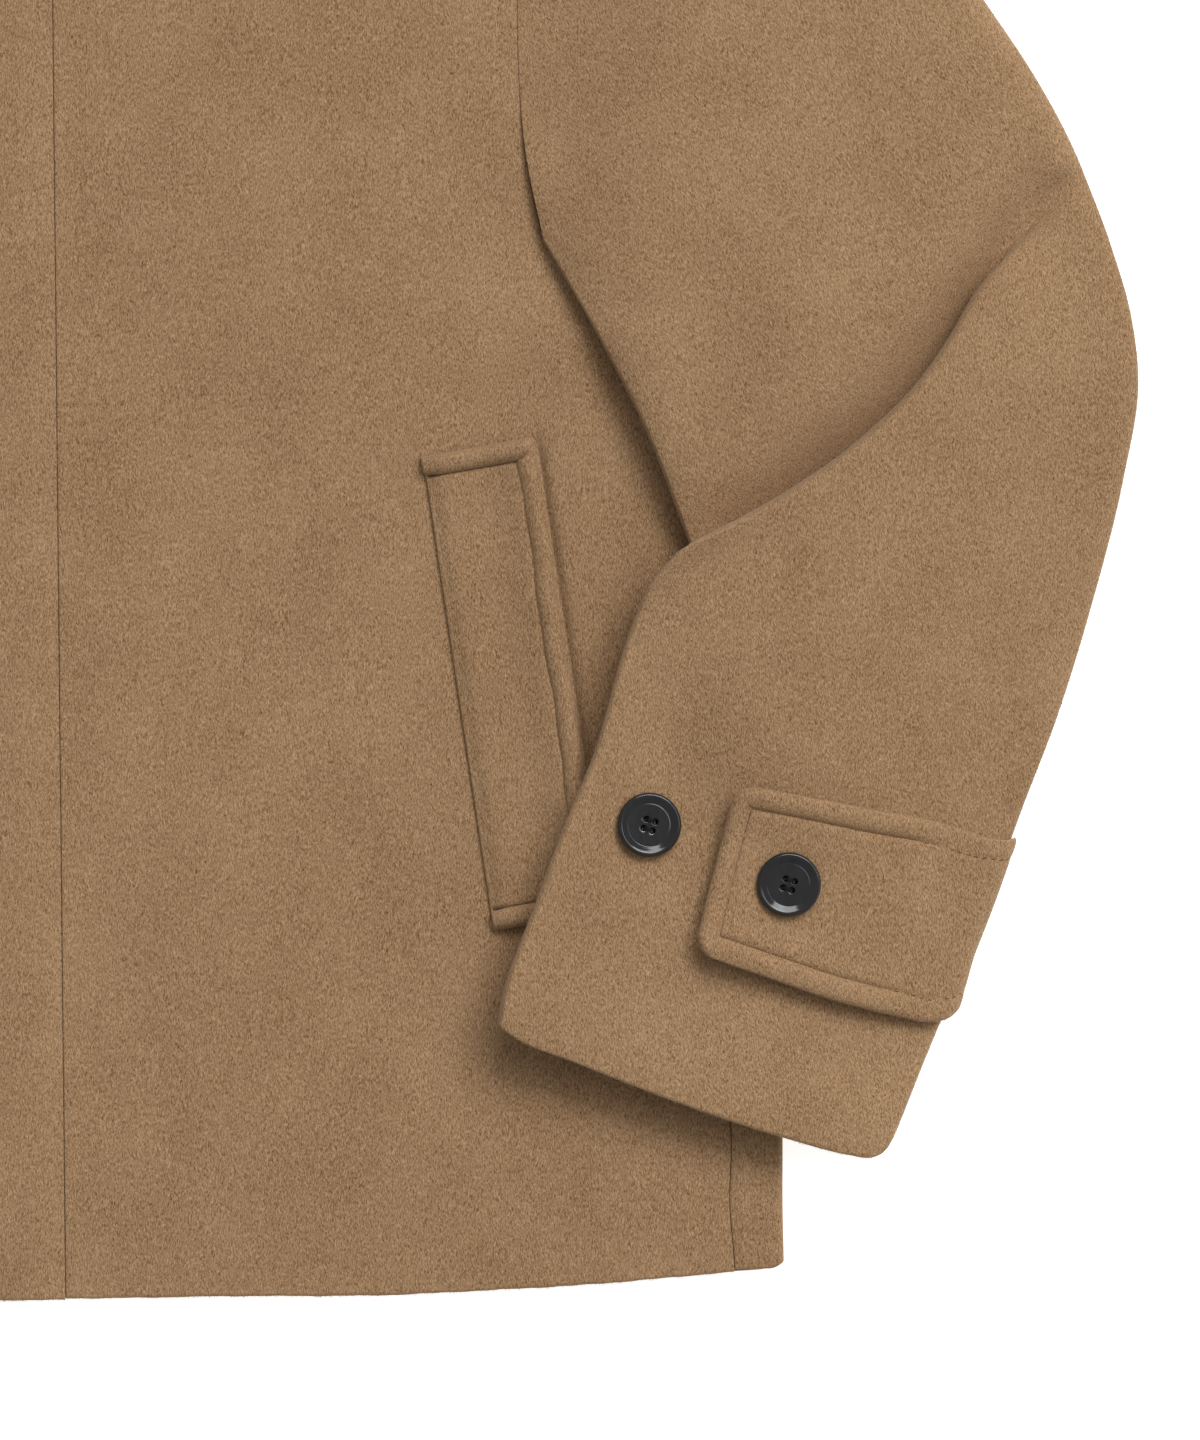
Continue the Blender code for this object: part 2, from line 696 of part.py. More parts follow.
def hairpin(seam, roll, edge):
    """Plan from the seam to the roll and back to the free edge, and the turn: -1 under, 1 over."""
    bend = np.radians([-60, -30, 0, 30, 60])
    stand = np.linspace(0, 1, 4)[None, :, None]
    leaf = np.linspace(0, 1, 8)[None, :, None]
    back = edge - roll
    back = back / np.linalg.norm(back, axis=-1)[:, None]
    inset = COLLAR_TURN
    start = roll + back * inset
    around = start[:, None] - back[:, None] * (inset * np.cos(bend))[None, :, None]
    under = seam[:, None] + (start - seam)[:, None] * stand
    over = start[:, None] + (edge - start)[:, None] * leaf
    turn = np.concatenate([-np.ones(4), np.sin(bend), np.ones(8)])
    return np.concatenate([under, around, over], axis=1), turn


def build_collar():
    """Front halves lie on the fronts and bend down past the shoulder; the back lies under the neck."""
    plan, turn = hairpin(*collar_sections(COLLAR_FRONT, 11))
    mid = front_under(plan) + lap(plan[..., 0]) + CLOTH / 2 + COLLAR_TURN
    grid = raised(plan, mid + COLLAR_TURN * turn)
    bend = np.radians([35, 65, 90])
    shoulder = np.array([NECK_POINT[1] - SHOULDER[1], SHOULDER[0] - NECK_POINT[0]])
    shoulder = shoulder / np.linalg.norm(shoulder)
    ends = np.repeat(grid[-1:], len(bend), axis=0)
    ends[..., :2] += shoulder * (COLLAR_OVER * np.sin(bend))[:, None, None]
    ends[..., 2] -= (COLLAR_OVER * (1 - np.cos(bend)))[:, None]
    grid = np.concatenate([grid, ends])
    wall("collar_left", grid, CLOTH)
    wall("collar_right", grid, CLOTH, side=-1)
    for made in (bpy.data.objects["collar_left"], bpy.data.objects["collar_right"]):
        made.modifiers["thickness"].offset = 0.0
    plan, turn = hairpin(*collar_sections(COLLAR_BACK, 7))
    half = raised(plan, CLOTH / 2 + COLLAR_TURN * (1 - turn))
    other = half[:0:-1] * (-1, 1, 1)
    back = wall("collar_back", np.concatenate([other, half]), CLOTH)
    back.modifiers["thickness"].offset = 0.0


clear_scene()
COAT = bpy.data.collections.new("mackintosh_coat")
bpy.context.scene.collection.children.link(COAT)
LAID = bpy.data.objects.new("laid_out", None)
COAT.objects.link(LAID)
LAID.location = (0, -LENGTH / 2, 0)
WOOL = material("brushed_wool", WOOL_COLOUR, 0.95)
HORN = material("dark_horn", BUTTON_COLOUR, 0.3)

build_back()
build_fronts()
build_collar()
for word, sign in (("left", 1), ("right", -1)):
    build_upper(f"sleeve_{word}_upper", sign)
    build_forearm(f"sleeve_{word}_forearm", sign)
    build_tab(f"tab_{word}", sign)
    build_welt(f"welt_{word}", sign)
    build_button(f"button_{word}_sleeve", sign, BUTTON_ON_SLEEVE, SEAM)
    build_button(f"button_{word}_tab", sign, BUTTON_ON_TAB, DOUBLE + TAB_REST)
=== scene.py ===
"""A short mackintosh coat in brushed camel wool, buttoned and laid out flat on its back, seen from straight above.

Metres. The tables are in the coat's own plan: x to the wearer's left, y from the hem to the collar, z up.
"""

import math

import bpy
import numpy as np
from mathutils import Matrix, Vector


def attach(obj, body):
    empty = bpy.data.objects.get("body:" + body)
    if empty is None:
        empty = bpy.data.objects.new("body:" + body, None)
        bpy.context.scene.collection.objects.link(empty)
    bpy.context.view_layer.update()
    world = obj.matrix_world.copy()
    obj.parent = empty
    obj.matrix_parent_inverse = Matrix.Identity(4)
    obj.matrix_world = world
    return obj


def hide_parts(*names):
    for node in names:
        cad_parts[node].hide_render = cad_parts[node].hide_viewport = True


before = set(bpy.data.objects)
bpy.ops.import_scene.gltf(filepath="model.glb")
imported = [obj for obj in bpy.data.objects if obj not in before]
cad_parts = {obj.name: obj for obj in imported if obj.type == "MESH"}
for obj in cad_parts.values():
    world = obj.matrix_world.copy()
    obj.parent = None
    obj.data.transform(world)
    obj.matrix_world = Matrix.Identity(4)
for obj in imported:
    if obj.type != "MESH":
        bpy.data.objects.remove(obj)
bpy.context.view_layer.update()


# Studio ---------------------------------------------------------------------------------------------------
# A white floor that glows a little, as a light table does, a soft white dome and two broad lamps, one beyond
# the collar and one at the coat's side. The camera looks straight down on the left half of the coat, turned by
# half a degree.

FLOOR_Z = -0.0008
FLOOR_HALF = 20.0
FLOOR_GREY = (0.86, 0.86, 0.86, 1.0)
FLOOR_GLOW = 0.75
WHITE = (1.0, 1.0, 1.0, 1.0)
DOME_STRENGTH = 0.36
LAMP_SIZE = (12.8, 6.4)
LAMP_AIM = (0.25, -0.20, 0.0)
LAMPS = {"lamp_beyond_collar": ((5.0, 9.9, 11.5), 1680.0), "lamp_at_side": ((8.4, 4.8, 12.8), 720.0)}
CAMERA_LENS = 343.0       # millimetres, as the sensor
CAMERA_SENSOR = 36.0
CAMERA_PLACE = (0.2337, -0.1471, 5.0)
CAMERA_TURN = -0.01       # radians

scene = bpy.context.scene
scene.view_settings.view_transform = "Standard"


def new_finish(name, **values):
    """New material and its shader, with the values of the shader's inputs."""
    made = bpy.data.materials.new(name)
    made.use_nodes = True
    shader = made.node_tree.nodes["Principled BSDF"]
    for key, value in values.items():
        shader.inputs[key.replace("_", " ")].default_value = value
    return made, shader


floor_corners = FLOOR_HALF * np.array([(-1, -1, 0), (1, -1, 0), (1, 1, 0), (-1, 1, 0)]) + (0, 0, FLOOR_Z)
floor_mesh = bpy.data.meshes.new("floor")
floor_mesh.from_pydata(floor_corners.tolist(), [], [(0, 1, 2, 3)])
floor = bpy.data.objects.new("floor", floor_mesh)
scene.collection.objects.link(floor)
floor_paint, _ = new_finish("white_floor", Base_Color=FLOOR_GREY, Roughness=0.9, Emission_Color=WHITE,
                            Emission_Strength=FLOOR_GLOW)
floor_mesh.materials.append(floor_paint)

dome = bpy.data.worlds.new("soft_dome")
dome.use_nodes = True
dome.node_tree.nodes["Background"].inputs["Color"].default_value = WHITE
dome.node_tree.nodes["Background"].inputs["Strength"].default_value = DOME_STRENGTH
scene.world = dome

for name, (place, watts) in LAMPS.items():
    lamp = bpy.data.lights.new(name, "AREA")
    lamp.shape = "RECTANGLE"
    lamp.size, lamp.size_y = LAMP_SIZE
    lamp.energy = watts
    lamp_stand = bpy.data.objects.new(name, lamp)
    lamp_stand.location = place
    lamp_stand.rotation_euler = (Vector(LAMP_AIM) - Vector(place)).to_track_quat("-Z", "Y").to_euler()
    lamp_stand.visible_camera = False
    scene.collection.objects.link(lamp_stand)

camera_data = bpy.data.cameras.new("camera")
camera_data.lens = CAMERA_LENS
camera_data.sensor_width = CAMERA_SENSOR
camera = bpy.data.objects.new("camera", camera_data)
camera.location = CAMERA_PLACE
camera.rotation_euler = (0, 0, CAMERA_TURN)
scene.collection.objects.link(camera)
scene.camera = camera


# Back panel -----------------------------------------------------------------------------------------------
# One piece of brushed wool melton, 2.4 mm thick, cut from the neck to the hem. Its sides are folded forward
# round the body and sewn to the fronts 18 mm in from the fold; the hem is turned up, so it is a little thicker.

LENGTH = 0.712            # hem to the top of the collar
CLOTH = 0.0024
SEAM = 0.0001             # gap between two pieces at a seam
SEAM_ROUND = (0.0012, 0.60)   # a sewn edge turns down over this radius and keeps this share of its thickness
FREE_ROUND = (0.0013, 0.0)    # a turned edge is round
EDGE_RADIUS = 0.0030      # a folded edge holds two layers of cloth
SIDE_X = 0.2986
SIDE_SEAM_X = 0.280
HEM_FLAT = 0.150          # the hem is level this far from the middle
HEM_RISE = 0.0086         # and then rises by this to the side
HEM_LOW = 0.0003          # height of its level part
HEM_CORNER = 0.0055       # radius of the hem's corner at the side
CORNER_RUN = 0.030        # height over which the cloth above the corner gives way to it
# waves of soft edges: height, radians in a metre, start
HEM_WAVES = ((0.00014, 71, 1.0), (0.00009, 229, 0.4), (0.00006, 617, 0.0))
SIDE_WAVES = ((0.00025, 118, 0.7),)
SEAM_WAVES = ((0.0006, 58, 2.2), (0.0004, 151, 0.0))
SEAM_STEADY = (0.28, 0.05)    # the side seam's waves run out from this height, over this run
SEAM_DRAWN = (0.0004, 0.004)  # the back is drawn down this much at the side seam, over this run
UNDERARM = (0.280, 0.350)
SHOULDER = (0.250, 0.625)
NECK_POINT = (0.085, 0.682)
NECK_SHARE = 0.34         # share of the columns that end at the neck
BACK_NECK_Y = 0.664
NECK_LIFT = 0.0033        # the back of the collar lies under the neck
NECK_HILL = (0.690, 0.150, 0.060)     # middle y of the hill that this makes, and its radii
ARMHOLE = (
    (0.2500, 0.6250), (0.2320, 0.5900), (0.2180, 0.5500), (0.2095, 0.5100),
    (0.2065, 0.4710), (0.2069, 0.4380), (0.2091, 0.4132), (0.2150, 0.3837),
)
BACK_HIDDEN = ((0.2956, 0.3510), (0.2700, 0.3600), (0.2400, 0.3700), (0.2150, 0.3837))
SIDE_SHARE = 0.55         # a body panel's rows up to the underarm
HIDDEN_SHARE = 0.16       # and of the rest, those along the hidden armhole
# place on the ramp, and colour
WOOL_DARK = (0.315, (0.118, 0.046, 0.008, 1.0))
WOOL_LIGHT = (0.685, (0.526, 0.346, 0.197, 1.0))
WOOL_SHEEN = (1.0, 0.86, 0.68, 1.0)
# noise of the single fibres, tufts and clouds: grains in a metre across and along the nap, detail, roughness
WOOL_FIBRES = (3300.0, 940.0, 2.0, 0.62)
WOOL_TUFTS = (1900.0, 560.0, 2.0, 0.55)
WOOL_CLOUDS = (34.0, 26.0, 3.0, 0.5)
WOOL_SHARES = (0.64, 0.36, 0.10)
WOOL_WANDER = (0.0032, 0.0010, 0.0)   # how far the fibres stray across and along the nap


def smooth(t):
    """Eased step from 0 to 1: 3t^2 - 2t^3."""
    t = np.clip(t, 0.0, 1.0)
    return t * t * (3.0 - 2.0 * t)


def curve(table):
    """Hermite curve through a table's rows, by chord length, as a function of t from 0 to 1."""
    rows = np.array(table, float)
    knots = np.concatenate([[0.0], np.cumsum(np.linalg.norm(np.diff(rows, axis=0), axis=1))])
    knots = knots / knots[-1]
    slopes = np.gradient(rows, knots, axis=0)

    def at(t):
        t = np.asarray(t, float)
        i = np.clip(np.searchsorted(knots, t, side="right") - 1, 0, len(rows) - 2)
        run = (knots[i + 1] - knots[i])[..., None]
        f = (t - knots[i])[..., None] / run
        start = (1 + 2 * f) * (1 - f) ** 2 * rows[i] + f * (1 - f) ** 2 * run * slopes[i]
        end = f * f * (3 - 2 * f) * rows[i + 1] - f * f * (1 - f) * run * slopes[i + 1]
        return start + end

    return at


def line(start, end):
    """Straight line from start to end, as a function of t from 0 to 1."""
    start = np.array(start, float)
    run = np.array(end, float) - start
    return lambda t: start + np.asarray(t, float)[..., None] * run


def joined(first, second, share):
    """The first curve up to t = share, and the second curve from there."""

    def at(t):
        t = np.asarray(t, float)
        early = first(np.clip(t / share, 0, 1))
        late = second(np.clip((t - share) / (1 - share), 0, 1))
        return np.where((t < share)[..., None], early, late)

    return at


def patch(low, high, left, right):
    """Coons patch between four edge curves: the two ruled surfaces added, less the bilinear one."""

    def at(u, v):
        u, v = np.broadcast_arrays(np.asarray(u, float), np.asarray(v, float))
        a, b = u[..., None], v[..., None]
        ruled = (1 - b) * low(u) + b * high(u) + (1 - a) * left(v) + a * right(v)
        ends = (1 - b) * ((1 - a) * low(0.0) + a * low(1.0)) + b * ((1 - a) * high(0.0) + a * high(1.0))
        return ruled - ends

    return at


def waves(x, rows):
    """Sum of sines along x, each with its height, radians in a metre and start."""
    return sum(high * np.sin(often * x + start) for high, often, start in rows)


def hem(x):
    """Height of the hem at x: level, then rising to the side, with the small waves of a soft turned edge."""
    rise = HEM_RISE * np.clip((np.abs(x) - HEM_FLAT) / (SIDE_X - HEM_FLAT), 0, 1) ** 1.5
    return rise + waves(x, HEM_WAVES) + HEM_LOW


def hem_curve(x_from, x_to):
    """Hem between two values of x."""

    def at(t):
        x = x_from + (x_to - x_from) * np.asarray(t, float)
        return np.stack([x, hem(x)], axis=-1)

    return at


def body_side(side_x, side_top, hidden):
    """Edge of a body panel: up the side, along the hidden armhole, and up the armhole to the shoulder."""
    low = line((side_x, hem(side_x)), (side_x, side_top))
    arm = joined(curve(hidden), curve(ARMHOLE[::-1]), HIDDEN_SHARE)
    return joined(low, arm, SIDE_SHARE)


def back_neck(t):
    """Back neck seam from the centre to the neck point: a power curve."""
    t = np.asarray(t, float)
    return np.stack([NECK_POINT[0] * t, BACK_NECK_Y + (NECK_POINT[1] - BACK_NECK_Y) * t ** 2.4], axis=-1)


def seam_wave(y):
    """Waver of the side seam up to the underarm: two sines of a fraction of a millimetre."""
    return waves(y, SEAM_WAVES) * (1 - smooth((y - SEAM_STEADY[0]) / SEAM_STEADY[1]))


def neck_lift(p):
    """The neck stands up off the floor over the back of the collar: an eased oval hill."""
    middle_y, wide, high = NECK_HILL
    reach = np.hypot(p[..., 0] / wide, (p[..., 1] - middle_y) / high)
    return NECK_LIFT * smooth((1.6 - reach) / 0.6)


def stations(stops, counts, first=0.0, last=0.0):
    """Places from 0 to 1 through the stops, with more of them, on a cosine, in the rounded ends."""
    crowd = 1 - np.cos(np.radians([0, 25, 45, 62, 77]))
    stops = np.concatenate([[first], stops, [1 - last]])
    middle = [np.linspace(a, b, n, endpoint=False) for a, b, n in zip(stops[:-1], stops[1:], counts)]
    ends = [first * crowd] if first else []
    tail = [1 - last * crowd[::-1]] if last else []
    return np.concatenate(ends + middle + [stops[-1:]] + tail)


def travelled(grid, axis):
    """Distance over the grid from the first point of each line to every point on it."""
    steps = np.linalg.norm(np.diff(grid, axis=axis), axis=-1)
    start = np.zeros_like(np.take(steps, [0], axis=axis))
    return np.concatenate([start, np.cumsum(steps, axis=axis)], axis=axis)


def rounded(distance, radius, kept=0.0):
    """Quarter circle: 0 at an edge, from the kept share just inside it to 1 from the radius on."""
    rest = 1 - np.clip(distance / radius, 0, 1)
    return np.where(distance > 0, kept + (1 - kept) * np.sqrt(1 - rest * rest), 0.0)


def facing(grid, around=False):
    """Unit normals: the step along the columns crossed with the step along the rows."""
    if around:
        across = np.roll(grid, -1, axis=1) - np.roll(grid, 1, axis=1)
    else:
        across = np.gradient(grid, axis=1)
    normal = np.cross(across, np.gradient(grid, axis=0))
    return normal / np.maximum(np.linalg.norm(normal, axis=-1, keepdims=True), 1e-12)


def raised(plan, height):
    """Plan points with their heights."""
    return np.concatenate([plan, np.broadcast_to(height, plan.shape[:-1])[..., None]], axis=-1)


def nap(points, lean):
    """Grain coordinates in metres: across and along the direction in which the nap is brushed, which leans from
    y by an angle, and height."""
    x, y, z = points[..., 0], points[..., 1], points[..., 2]
    across = x * math.cos(lean) + y * math.sin(lean)
    return np.stack([across, y * math.cos(lean) - x * math.sin(lean), z], axis=-1)


def solid(name, points, faces, finish, side=1):
    """Smooth mesh from points in the coat's plan, mirrored to the wearer's right where side is -1."""
    mesh = bpy.data.meshes.new(name)
    placed = points * (side, 1, 1) - (0, LENGTH / 2, 0)
    mesh.from_pydata(placed.tolist(), [], (faces if side > 0 else faces[:, ::-1]).tolist())
    mesh.polygons.foreach_set("use_smooth", np.ones(len(mesh.polygons), bool))
    mesh.materials.append(finish)
    piece = bpy.data.objects.new(name, mesh)
    scene.collection.objects.link(piece)
    return piece


def shell(name, over, under, finish, lean=0.0, keep=None, around=False, side=1, later_lean=0.0, change=None):
    """Closed wall between two grids that share their outer lines. keep marks the cells that are there, around
    joins the last column to the first, side -1 mirrors the piece to the wearer's right, and the nap's lean gives
    way to a later one from the row change on."""
    rows, columns = over.shape[:2]
    cells = np.ones((rows - 1, columns if around else columns - 1), bool) if keep is None else keep
    ringed = np.pad(cells, ((1, 1), (0, 0)))
    ringed = np.concatenate([ringed[:, -1:], ringed], axis=1) if around else np.pad(ringed, ((0, 0), (1, 1)))
    inner = ringed[:-1, :-1] & ringed[1:, :-1] & ringed[:-1, 1:] & ringed[1:, 1:]
    above = np.arange(rows * columns).reshape(rows, columns)
    below = np.where(inner, rows * columns + np.cumsum(inner).reshape(inner.shape) - 1, above)
    points = np.concatenate([over.reshape(-1, 3), under[inner]])
    i, j = np.nonzero(cells)
    k = (j + 1) % columns
    corners = ((i, j), (i, k), (i + 1, k), (i + 1, j))
    top = np.stack([above[c] for c in corners], axis=-1)
    bottom = np.stack([below[c] for c in corners[::-1]], axis=-1)
    faces = np.concatenate([top, bottom])
    grain = nap(points[faces], lean)
    if change is not None:
        grain = np.where(np.tile(i >= change, 2)[:, None, None], nap(points[faces], later_lean), grain)
    used, faces = np.unique(faces, return_inverse=True)
    piece = solid(name, points[used], faces.reshape(-1, 4), finish, side)
    grain = grain if side > 0 else grain[:, ::-1]
    brushed = piece.data.attributes.new("grain", "FLOAT_VECTOR", "CORNER")
    brushed.data.foreach_set("vector", grain.astype(np.float32).ravel())
    return piece


def declare(piece, *nodes, slot="wool", **cut):
    """Attaches a piece to the root and hides the parts of model.glb for the nodes it stands for. slot and cut are
    not used.
    """
    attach(piece, "root")
    if nodes:
        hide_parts(*nodes)


def sheet_faces(middle, half, start, end, low, high):
    """Both faces of a sheet: its middle moved half the thickness each way along the normal, which runs out in a
    quarter circle at each edge. start and end are the radius and the share kept at the columns' ends, low and
    high at the rows'."""
    run = travelled(middle, 1)
    rise = travelled(middle, 0)
    half = half * rounded(run, *start) * rounded(run[:, -1:] - run, *end)
    half = half * rounded(rise, *low) * rounded(rise[-1:] - rise, *high)
    normal = facing(middle)
    return middle + normal * half[..., None], middle - normal * half[..., None]


def add_node(tree, kind, settings=(), **values):
    """New shader node with its settings and the values of its inputs."""
    made = tree.nodes.new(kind)
    for key, value in dict(settings).items():
        setattr(made, key, value)
    for key, value in values.items():
        made.inputs[key.replace("_", " ")].default_value = value
    return made


def stretched_noise(tree, grain, across, along, detail, roughness):
    """Noise on the grain coordinates whose grains are 1/across thick and 1/along long, in metres."""
    sized = add_node(tree, "ShaderNodeMapping", {"vector_type": "POINT"}, Scale=(across, along, across))
    speckle = add_node(tree, "ShaderNodeTexNoise", Scale=1.0, Detail=detail, Roughness=roughness)
    tree.links.new(grain, sized.inputs["Vector"])
    tree.links.new(sized.outputs["Vector"], speckle.inputs["Vector"])
    return speckle.outputs["Fac"]


def mixed(tree, operation, first, second):
    """Math node on two sockets or numbers."""
    made = tree.nodes.new("ShaderNodeMath")
    made.operation = operation
    for socket, value in zip(made.inputs, (first, second)):
        if isinstance(value, (int, float)):
            socket.default_value = value
        else:
            tree.links.new(value, socket)
    return made.outputs["Value"]


def two_tone(tree, value, dark, light, socket):
    """Colour ramp on a value from a dark tone to a light one, each a place and a colour, led into a socket."""
    ramp = add_node(tree, "ShaderNodeValToRGB")
    for tone, (place, colour) in zip(ramp.color_ramp.elements, (dark, light)):
        tone.position = place
        tone.color = colour
    tree.links.new(value, ramp.inputs["Fac"])
    tree.links.new(ramp.outputs["Color"], socket)


def brushed_wool(name):
    """Camel wool with a raised nap: short fibres brushed along the grain that wander a little, light and dark
    ones mixed, over a soft cloudiness a few centimetres across. The same fibres give the bump."""
    made, cloth = new_finish(name, Roughness=0.92, Specular_IOR_Level=0.15, Sheen_Weight=0.22,
                             Sheen_Roughness=0.45, Sheen_Tint=WOOL_SHEEN)
    tree = made.node_tree
    place = add_node(tree, "ShaderNodeAttribute", {"attribute_name": "grain"}).outputs["Vector"]
    wander = add_node(tree, "ShaderNodeTexNoise", Scale=110.0, Detail=2.0, Roughness=0.55)
    tree.links.new(place, wander.inputs["Vector"])
    shift = add_node(tree, "ShaderNodeVectorMath", {"operation": "MULTIPLY_ADD"})
    shift.inputs[1].default_value = WOOL_WANDER
    tree.links.new(wander.outputs["Color"], shift.inputs[0])
    tree.links.new(place, shift.inputs[2])
    grain = shift.outputs["Vector"]
    fine = mixed(tree, "MULTIPLY", stretched_noise(tree, grain, *WOOL_FIBRES), WOOL_SHARES[0])
    tufts = mixed(tree, "MULTIPLY", stretched_noise(tree, grain, *WOOL_TUFTS), WOOL_SHARES[1])
    fibres = mixed(tree, "ADD", fine, tufts)
    clouds = mixed(tree, "SUBTRACT", stretched_noise(tree, place, *WOOL_CLOUDS), 0.5)
    tone = mixed(tree, "ADD", fibres, mixed(tree, "MULTIPLY", clouds, WOOL_SHARES[2]))
    two_tone(tree, tone, WOOL_DARK, WOOL_LIGHT, cloth.inputs["Base Color"])
    bump = add_node(tree, "ShaderNodeBump", Strength=0.45, Distance=0.0009)
    tree.links.new(fibres, bump.inputs["Height"])
    tree.links.new(bump.outputs["Normal"], cloth.inputs["Normal"])
    return made


wool = brushed_wool("brushed_camel_wool")
rims = []                 # edges of the cloth on the wearer's left: a line of points and one further in

fold_x = SIDE_X - EDGE_RADIUS
armhole_share = SIDE_SHARE + (1 - SIDE_SHARE) * HIDDEN_SHARE
u = stations([NECK_SHARE], [18, 36])
v = stations([SIDE_SHARE, armhole_share], [66, 14, 42], 0.002, 0.001)
back_plan = patch(
    hem_curve(0, fold_x),
    joined(back_neck, line(NECK_POINT, SHOULDER), NECK_SHARE),
    line((0, hem(0.0)), (0, BACK_NECK_Y)),
    body_side(fold_x, UNDERARM[1] + 0.001, BACK_HIDDEN),
)
flat = back_plan(u[None, :], v[:, None])
flat = raised(flat, neck_lift(flat) + CLOTH / 2)
turn = np.radians(np.linspace(0, 180, 13)[1:])
turn_radius = EDGE_RADIUS - CLOTH / 2
to_seam = SIDE_SEAM_X + SEAM / 2 - fold_x
strip = to_seam * (1 - stations([], [14], 0.08)[::-1])[1:]
wrap_x = np.concatenate([turn_radius * np.sin(turn), strip])
wrap_z = np.concatenate([turn_radius * (1 - np.cos(turn)), np.full(len(strip), 2 * turn_radius)])
wrap_z = wrap_z - SEAM_DRAWN[0] * (1 - smooth((wrap_x - to_seam) / SEAM_DRAWN[1]))
wrap = np.repeat(flat[:, -1:], len(wrap_x), axis=1)
side_wave = waves(wrap[..., 1], SIDE_WAVES) * np.sin(np.linspace(0, np.pi, len(wrap_x)))
wrap[..., 0] += wrap_x + side_wave + seam_wave(wrap[..., 1]) * smooth(wrap_x / to_seam)
wrap[..., 2] += wrap_z
half_back = np.concatenate([flat, wrap], axis=1)
beyond = np.clip(half_back[..., 0] - (SIDE_X - HEM_CORNER), 0, HEM_CORNER)
corner_rise = HEM_CORNER - np.sqrt(HEM_CORNER ** 2 - beyond ** 2)
half_back[..., 1] += corner_rise * (1 - smooth(half_back[..., 1] / CORNER_RUN))
middle = np.concatenate([half_back[:, :0:-1] * (-1, 1, 1), half_back], axis=1)
over, under = sheet_faces(middle, CLOTH / 2, SEAM_ROUND, SEAM_ROUND, FREE_ROUND, SEAM_ROUND)
there = np.ones((len(v) - 1, middle.shape[1] - 1), bool)
above_underarm = v[1:] > SIDE_SHARE + 1e-9
there[above_underarm, :len(wrap_x)] = False
there[above_underarm, -len(wrap_x):] = False
back = shell("back_panel", over, under, wool, keep=there)
declare(back, "back", flat=(0.645, 0.680), area=0.375, held="folded", rests_on=["floor"])


# Fronts and front band ------------------------------------------------------------------------------------
# Two fronts of the same wool on the back panel. A plain band that hides the fastening is sewn to the left one's
# edge and laps over the right one. A line of topstitching holds the armhole seam as far as the chest.

REST = 0.0004             # gap between two layers that lie on each other
BAND_SEAM_X = 0.037
FRONT_EDGE_X = -0.023
BAND_DROP = 0.0005        # the band ends a little below the front's hem
RIGHT_NECK_SHARE = 0.42   # the right front is wider, and more of its columns end at the neck
NECK_DEPTH = 0.092
LAP_RUN = 0.022           # the left front eases down beside the right one's edge over this
SEAM_GIVE = 0.018         # the fronts' cloth follows the waves of the side seam over this
CROWN = 0.0018            # how far the fronts stand off the back away from their edges
CROWN_RUN = 0.060
RIPPLE_RUN = 0.04
# long waves of the fronts: height, radians in a metre of x and of y, start
RIPPLES = ((0.00034, 47, 21, 0.6), (0.00030, -30, 52, 2.1), (0.00018, 88, -61, 4.0))
ARMHOLE_HIDDEN = ((0.2150, 0.3837), (0.2290, 0.3680), (0.2520, 0.3560), (0.2800, 0.3500))
ARMHOLE_STITCH = (
    (0.2440, 0.6285), (0.2258, 0.5930), (0.2114, 0.5522), (0.2026, 0.5114),
    (0.1994, 0.4710), (0.1994, 0.4603), (0.2052, 0.4566),
)
ARMHOLE_GROOVE = (0.0004, 0.0009)     # depth and width of the dip along this stitching
POCKET_SLIT = ((0.2119, 0.3095), (0.2357, 0.1395))    # each front dips into its pocket along the mouth
POCKET_GROOVE = (0.0021, 0.0021)


def ripple(p):
    """Unevenness of cloth laid down by hand: three long sine waves in different directions."""
    x, y = np.abs(p[..., 0]), p[..., 1]
    return sum(high * np.sin(by_x * x + by_y * y + start) for high, by_x, by_y, start in RIPPLES)


armhole_up = np.concatenate([np.array(ARMHOLE_HIDDEN)[::-1], np.array(ARMHOLE)[::-1][1:]])


def front_under(p):
    """Underside of the fronts: two folded layers up at the edges, crowned and rippled away from them."""
    x, y = np.abs(p[..., 0]), p[..., 1]
    fall = (SHOULDER[1] - NECK_POINT[1]) / (SHOULDER[0] - NECK_POINT[0])
    shoulder_y = NECK_POINT[1] + (x - NECK_POINT[0]) * fall
    armhole_x = np.interp(y, armhole_up[:, 1], armhole_up[:, 0])
    reach = np.minimum(np.minimum(armhole_x - x, y - hem(x)), shoulder_y - y)
    crown = CROWN * smooth(reach / CROWN_RUN) + ripple(p) * smooth(reach / RIPPLE_RUN)
    return 2 * EDGE_RADIUS - CLOTH + crown + 1.15 * neck_lift(p)


def lap(x):
    """The left front stands up off the right one where it laps over it, and eases down beside it."""
    return (CLOTH + REST) * (1 - smooth((np.abs(x) + FRONT_EDGE_X - SEAM) / LAP_RUN))


def neck_curve(x_from, x_to):
    """Front neck seam between two values of x: part of an ellipse."""
    a, b = (math.asin(x / NECK_POINT[0]) for x in (x_from, x_to))

    def at(t):
        angle = a + (b - a) * np.asarray(t, float)
        return np.stack([NECK_POINT[0] * np.sin(angle), NECK_POINT[1] - NECK_DEPTH * np.cos(angle)], axis=-1)

    return at


